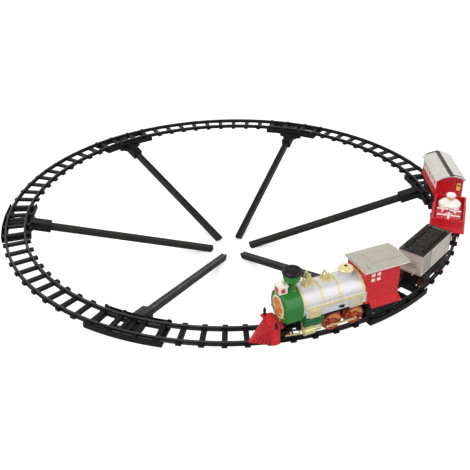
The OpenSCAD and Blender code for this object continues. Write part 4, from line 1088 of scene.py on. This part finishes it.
def painted_nodes(places: dict[str, Place]) -> dict[str, tuple[str, tuple[Zone, ...]]]:
    """List the CAD nodes that carry more than one paint.

    Args:
        places: The vehicles' places.

    Returns:
        For each such node, the vehicle whose frame its zones are measured in, and the zones.
    """
    along, across, outward, up = Measure.ALONG, Measure.ACROSS, Measure.OUTWARD, Measure.UP
    lamp_high = local_box("headlamp", places["loco"])[1]
    door_low, door_high = local_box("smokebox_door", places["loco"])
    axis_z = (door_low.z + door_high.z) / 2
    dome_high = local_box("steam_dome", places["loco"])[1].z
    cow_high = local_box("cowcatcher", places["loco"])[1]
    deck_x, deck_z = cow_high.x - 30.6, cow_high.z - 13.3
    roof_z = local_box("cab_roof", places["loco"])[0].z
    tender_front = local_box("tender_body", places["tender"])[1].x - 17
    coach_low, coach_high = local_box("coach_roof", places["coach"])
    roof_end = coach_high.x
    roof_top = Band(up, coach_low.z + 1.6, coach_high.z)
    arch_rise = coach_high.z - 2.4 - coach_low.z
    arch_radius = (coach_high.y ** 2 + arch_rise ** 2) / (2 * arch_rise)
    gable = Band(Measure.RADIUS_ALONG, 0.0, arch_radius - 1.2, (0.0, coach_low.z + arch_rise - arch_radius))
    louvre_panel = (Band(along, tender_front - 24.0, tender_front - 5.0), Band(outward, 21.0, 24.0))
    louvres = (Zone("#8A847E", (*louvre_panel, Band(up, z, z + 1.3))) for z in range(38, 68, 5))
    driver_face = 20.93
    driver_zones = (Zone("#CB8440", (Band(across, driver_face, 30.0),)),)
    # The lighter grey on the rail tops is a painted highlight, in place of the sheen that light puts on them.
    rail_top_painted_highlight = Zone("#3B3A37", (Band(up, -1.9, 1.0),))
    return {
        **{f"track_section_{n + 1}": ("loco", (rail_top_painted_highlight,)) for n in range(TRACK_SECTIONS)},
        "smokebox_door": ("loco", (
            Zone(CREAM, (Band(Measure.RADIUS_ALONG, 15.6, 18.8, (0.0, axis_z)),)),
            Zone(GREEN, (Band(Measure.RADIUS_ALONG, 18.8, 24.0, (0.0, axis_z)),)))),
        "headlamp": ("loco", (
            Zone("#C9323A", (
                Band(across, 6.6, lamp_high.y - 1.2), Band(along, 100.7, 107.3), Band(up, 84.1, 91.9))),)),
        "steam_dome": ("loco", (
            Zone(GOLD, (Band(up, dome_high - 6.6, dome_high - 0.6),)),
            Zone(BLACK, (Band(up, dome_high - 0.6, dome_high + 1),)))),
        "pilot_truck": ("pilot", (
            Zone(BLACK, (Band(up, 13.3, 20.0),)),
            Zone(BLACK, (Band(along, 4.0, 13.0),)))),
        "boiler_trim": ("loco", (Zone("#D9D7D8", (Band(along, -6.5, 3.5), Band(up, 42.0, 58.0))),)),
        "cowcatcher": ("loco", (
            # The darker red on the cowcatcher's faces, from the deck to the tip, is painted shade in the gaps
            # between the bars.
            Zone("#9A0C18", (Band(along, deck_x, deck_x + 40.0),)),
            Zone(BLACK, (Band(up, deck_z - 0.1, deck_z + 20),)))),
        "cab_roof": ("loco", (Zone("#D8D3C6", (Band(up, roof_z - 0.1, roof_z + 1.65),)),)),
        "driver_wheelset_front": ("loco", driver_zones),
        "driver_wheelset_rear": ("loco", driver_zones),
        "tender_body": ("tender", (
            Zone("#B6A69C", (Band(along, tender_front + 0.3, tender_front + 30),)),
            *louvres,
            Zone("#2E2C29", (
                Band(along, tender_front - 29.3, tender_front - 27.7), Band(across, 21.6, 24.0))),
            Zone(BLACK, (Band(up, 71.2, 72.0),)))),
        "coach_roof": ("coach", (
            Zone(STRIP, (Band(across, -1.0, 3.8), Band(up, coach_high.z - 2.2, coach_high.z + 1))),
            Zone(STRIP, (Band(along, roof_end - 6.0, roof_end - 1.0), Band(outward, 3.6, 23.0), roof_top)),
            Zone(STRIP, (Band(along, 1.0 - roof_end, 6.0 - roof_end), Band(outward, -23.0, -3.6), roof_top)),
            Zone("#B3172A", (Band(along, roof_end - 0.5, roof_end + 1), gable)),
            Zone("#B3172A", (Band(along, -roof_end - 1, 0.5 - roof_end), gable)))),
        "coach_body": ("coach", (
            Zone("#E8D4D2", (Band(across, 26.45, 28.0), Band(up, 49.0, 64.5))),
            Zone("#E5C765", (Band(along, 55.75, 60.0), Band(up, 46.5, 62.5), Band(outward, 12.0, 21.0))),
            Zone(BLACK, (Band(along, 57.3, 60.0), Band(up, 55.5, 60.5), Band(outward, 14.0, 19.0))))),
    }


# ---- main


def main() -> None:
    """Build the looks of the whole set."""
    logging.basicConfig(level=logging.INFO, format="%(message)s")
    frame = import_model()
    deselect()
    bpy.context.scene.view_settings.view_transform = "Standard"
    places = {vehicle: place_of(f"{joint}_spin", frame, TRACK_RADIUS) for vehicle, joint in (
        ("loco", "driver_rear"), ("pilot", "pilot_wheels"), ("tender", "tender_front_wheels"),
        ("gift", "gift_front_wheels"), ("coach", "coach_front_wheels"))}
    Studio(floor_z=min(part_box(n)[0].z for n in frame["nodes"])).build()
    Dresser(frame, places, painted_nodes(places)).dress()
    first_joint = frame["record"]["mounts"][1]["pos_m"]
    LocomotiveTrim(Bench(places["loco"], "loco")).build()
    PilotBeam(Bench(places["pilot"], "loco")).build()
    CoalHeap(Bench(places["tender"], "tender")).build()
    GiftBundle(Bench(places["gift"], "gift_wagon")).build()
    CoachTrim(Bench(places["coach"], "coach")).build()
    RailChairs(Bench(places["loco"], "track"), math.atan2(first_joint[1], first_joint[0])).build()


if __name__ == "__main__":
    main()
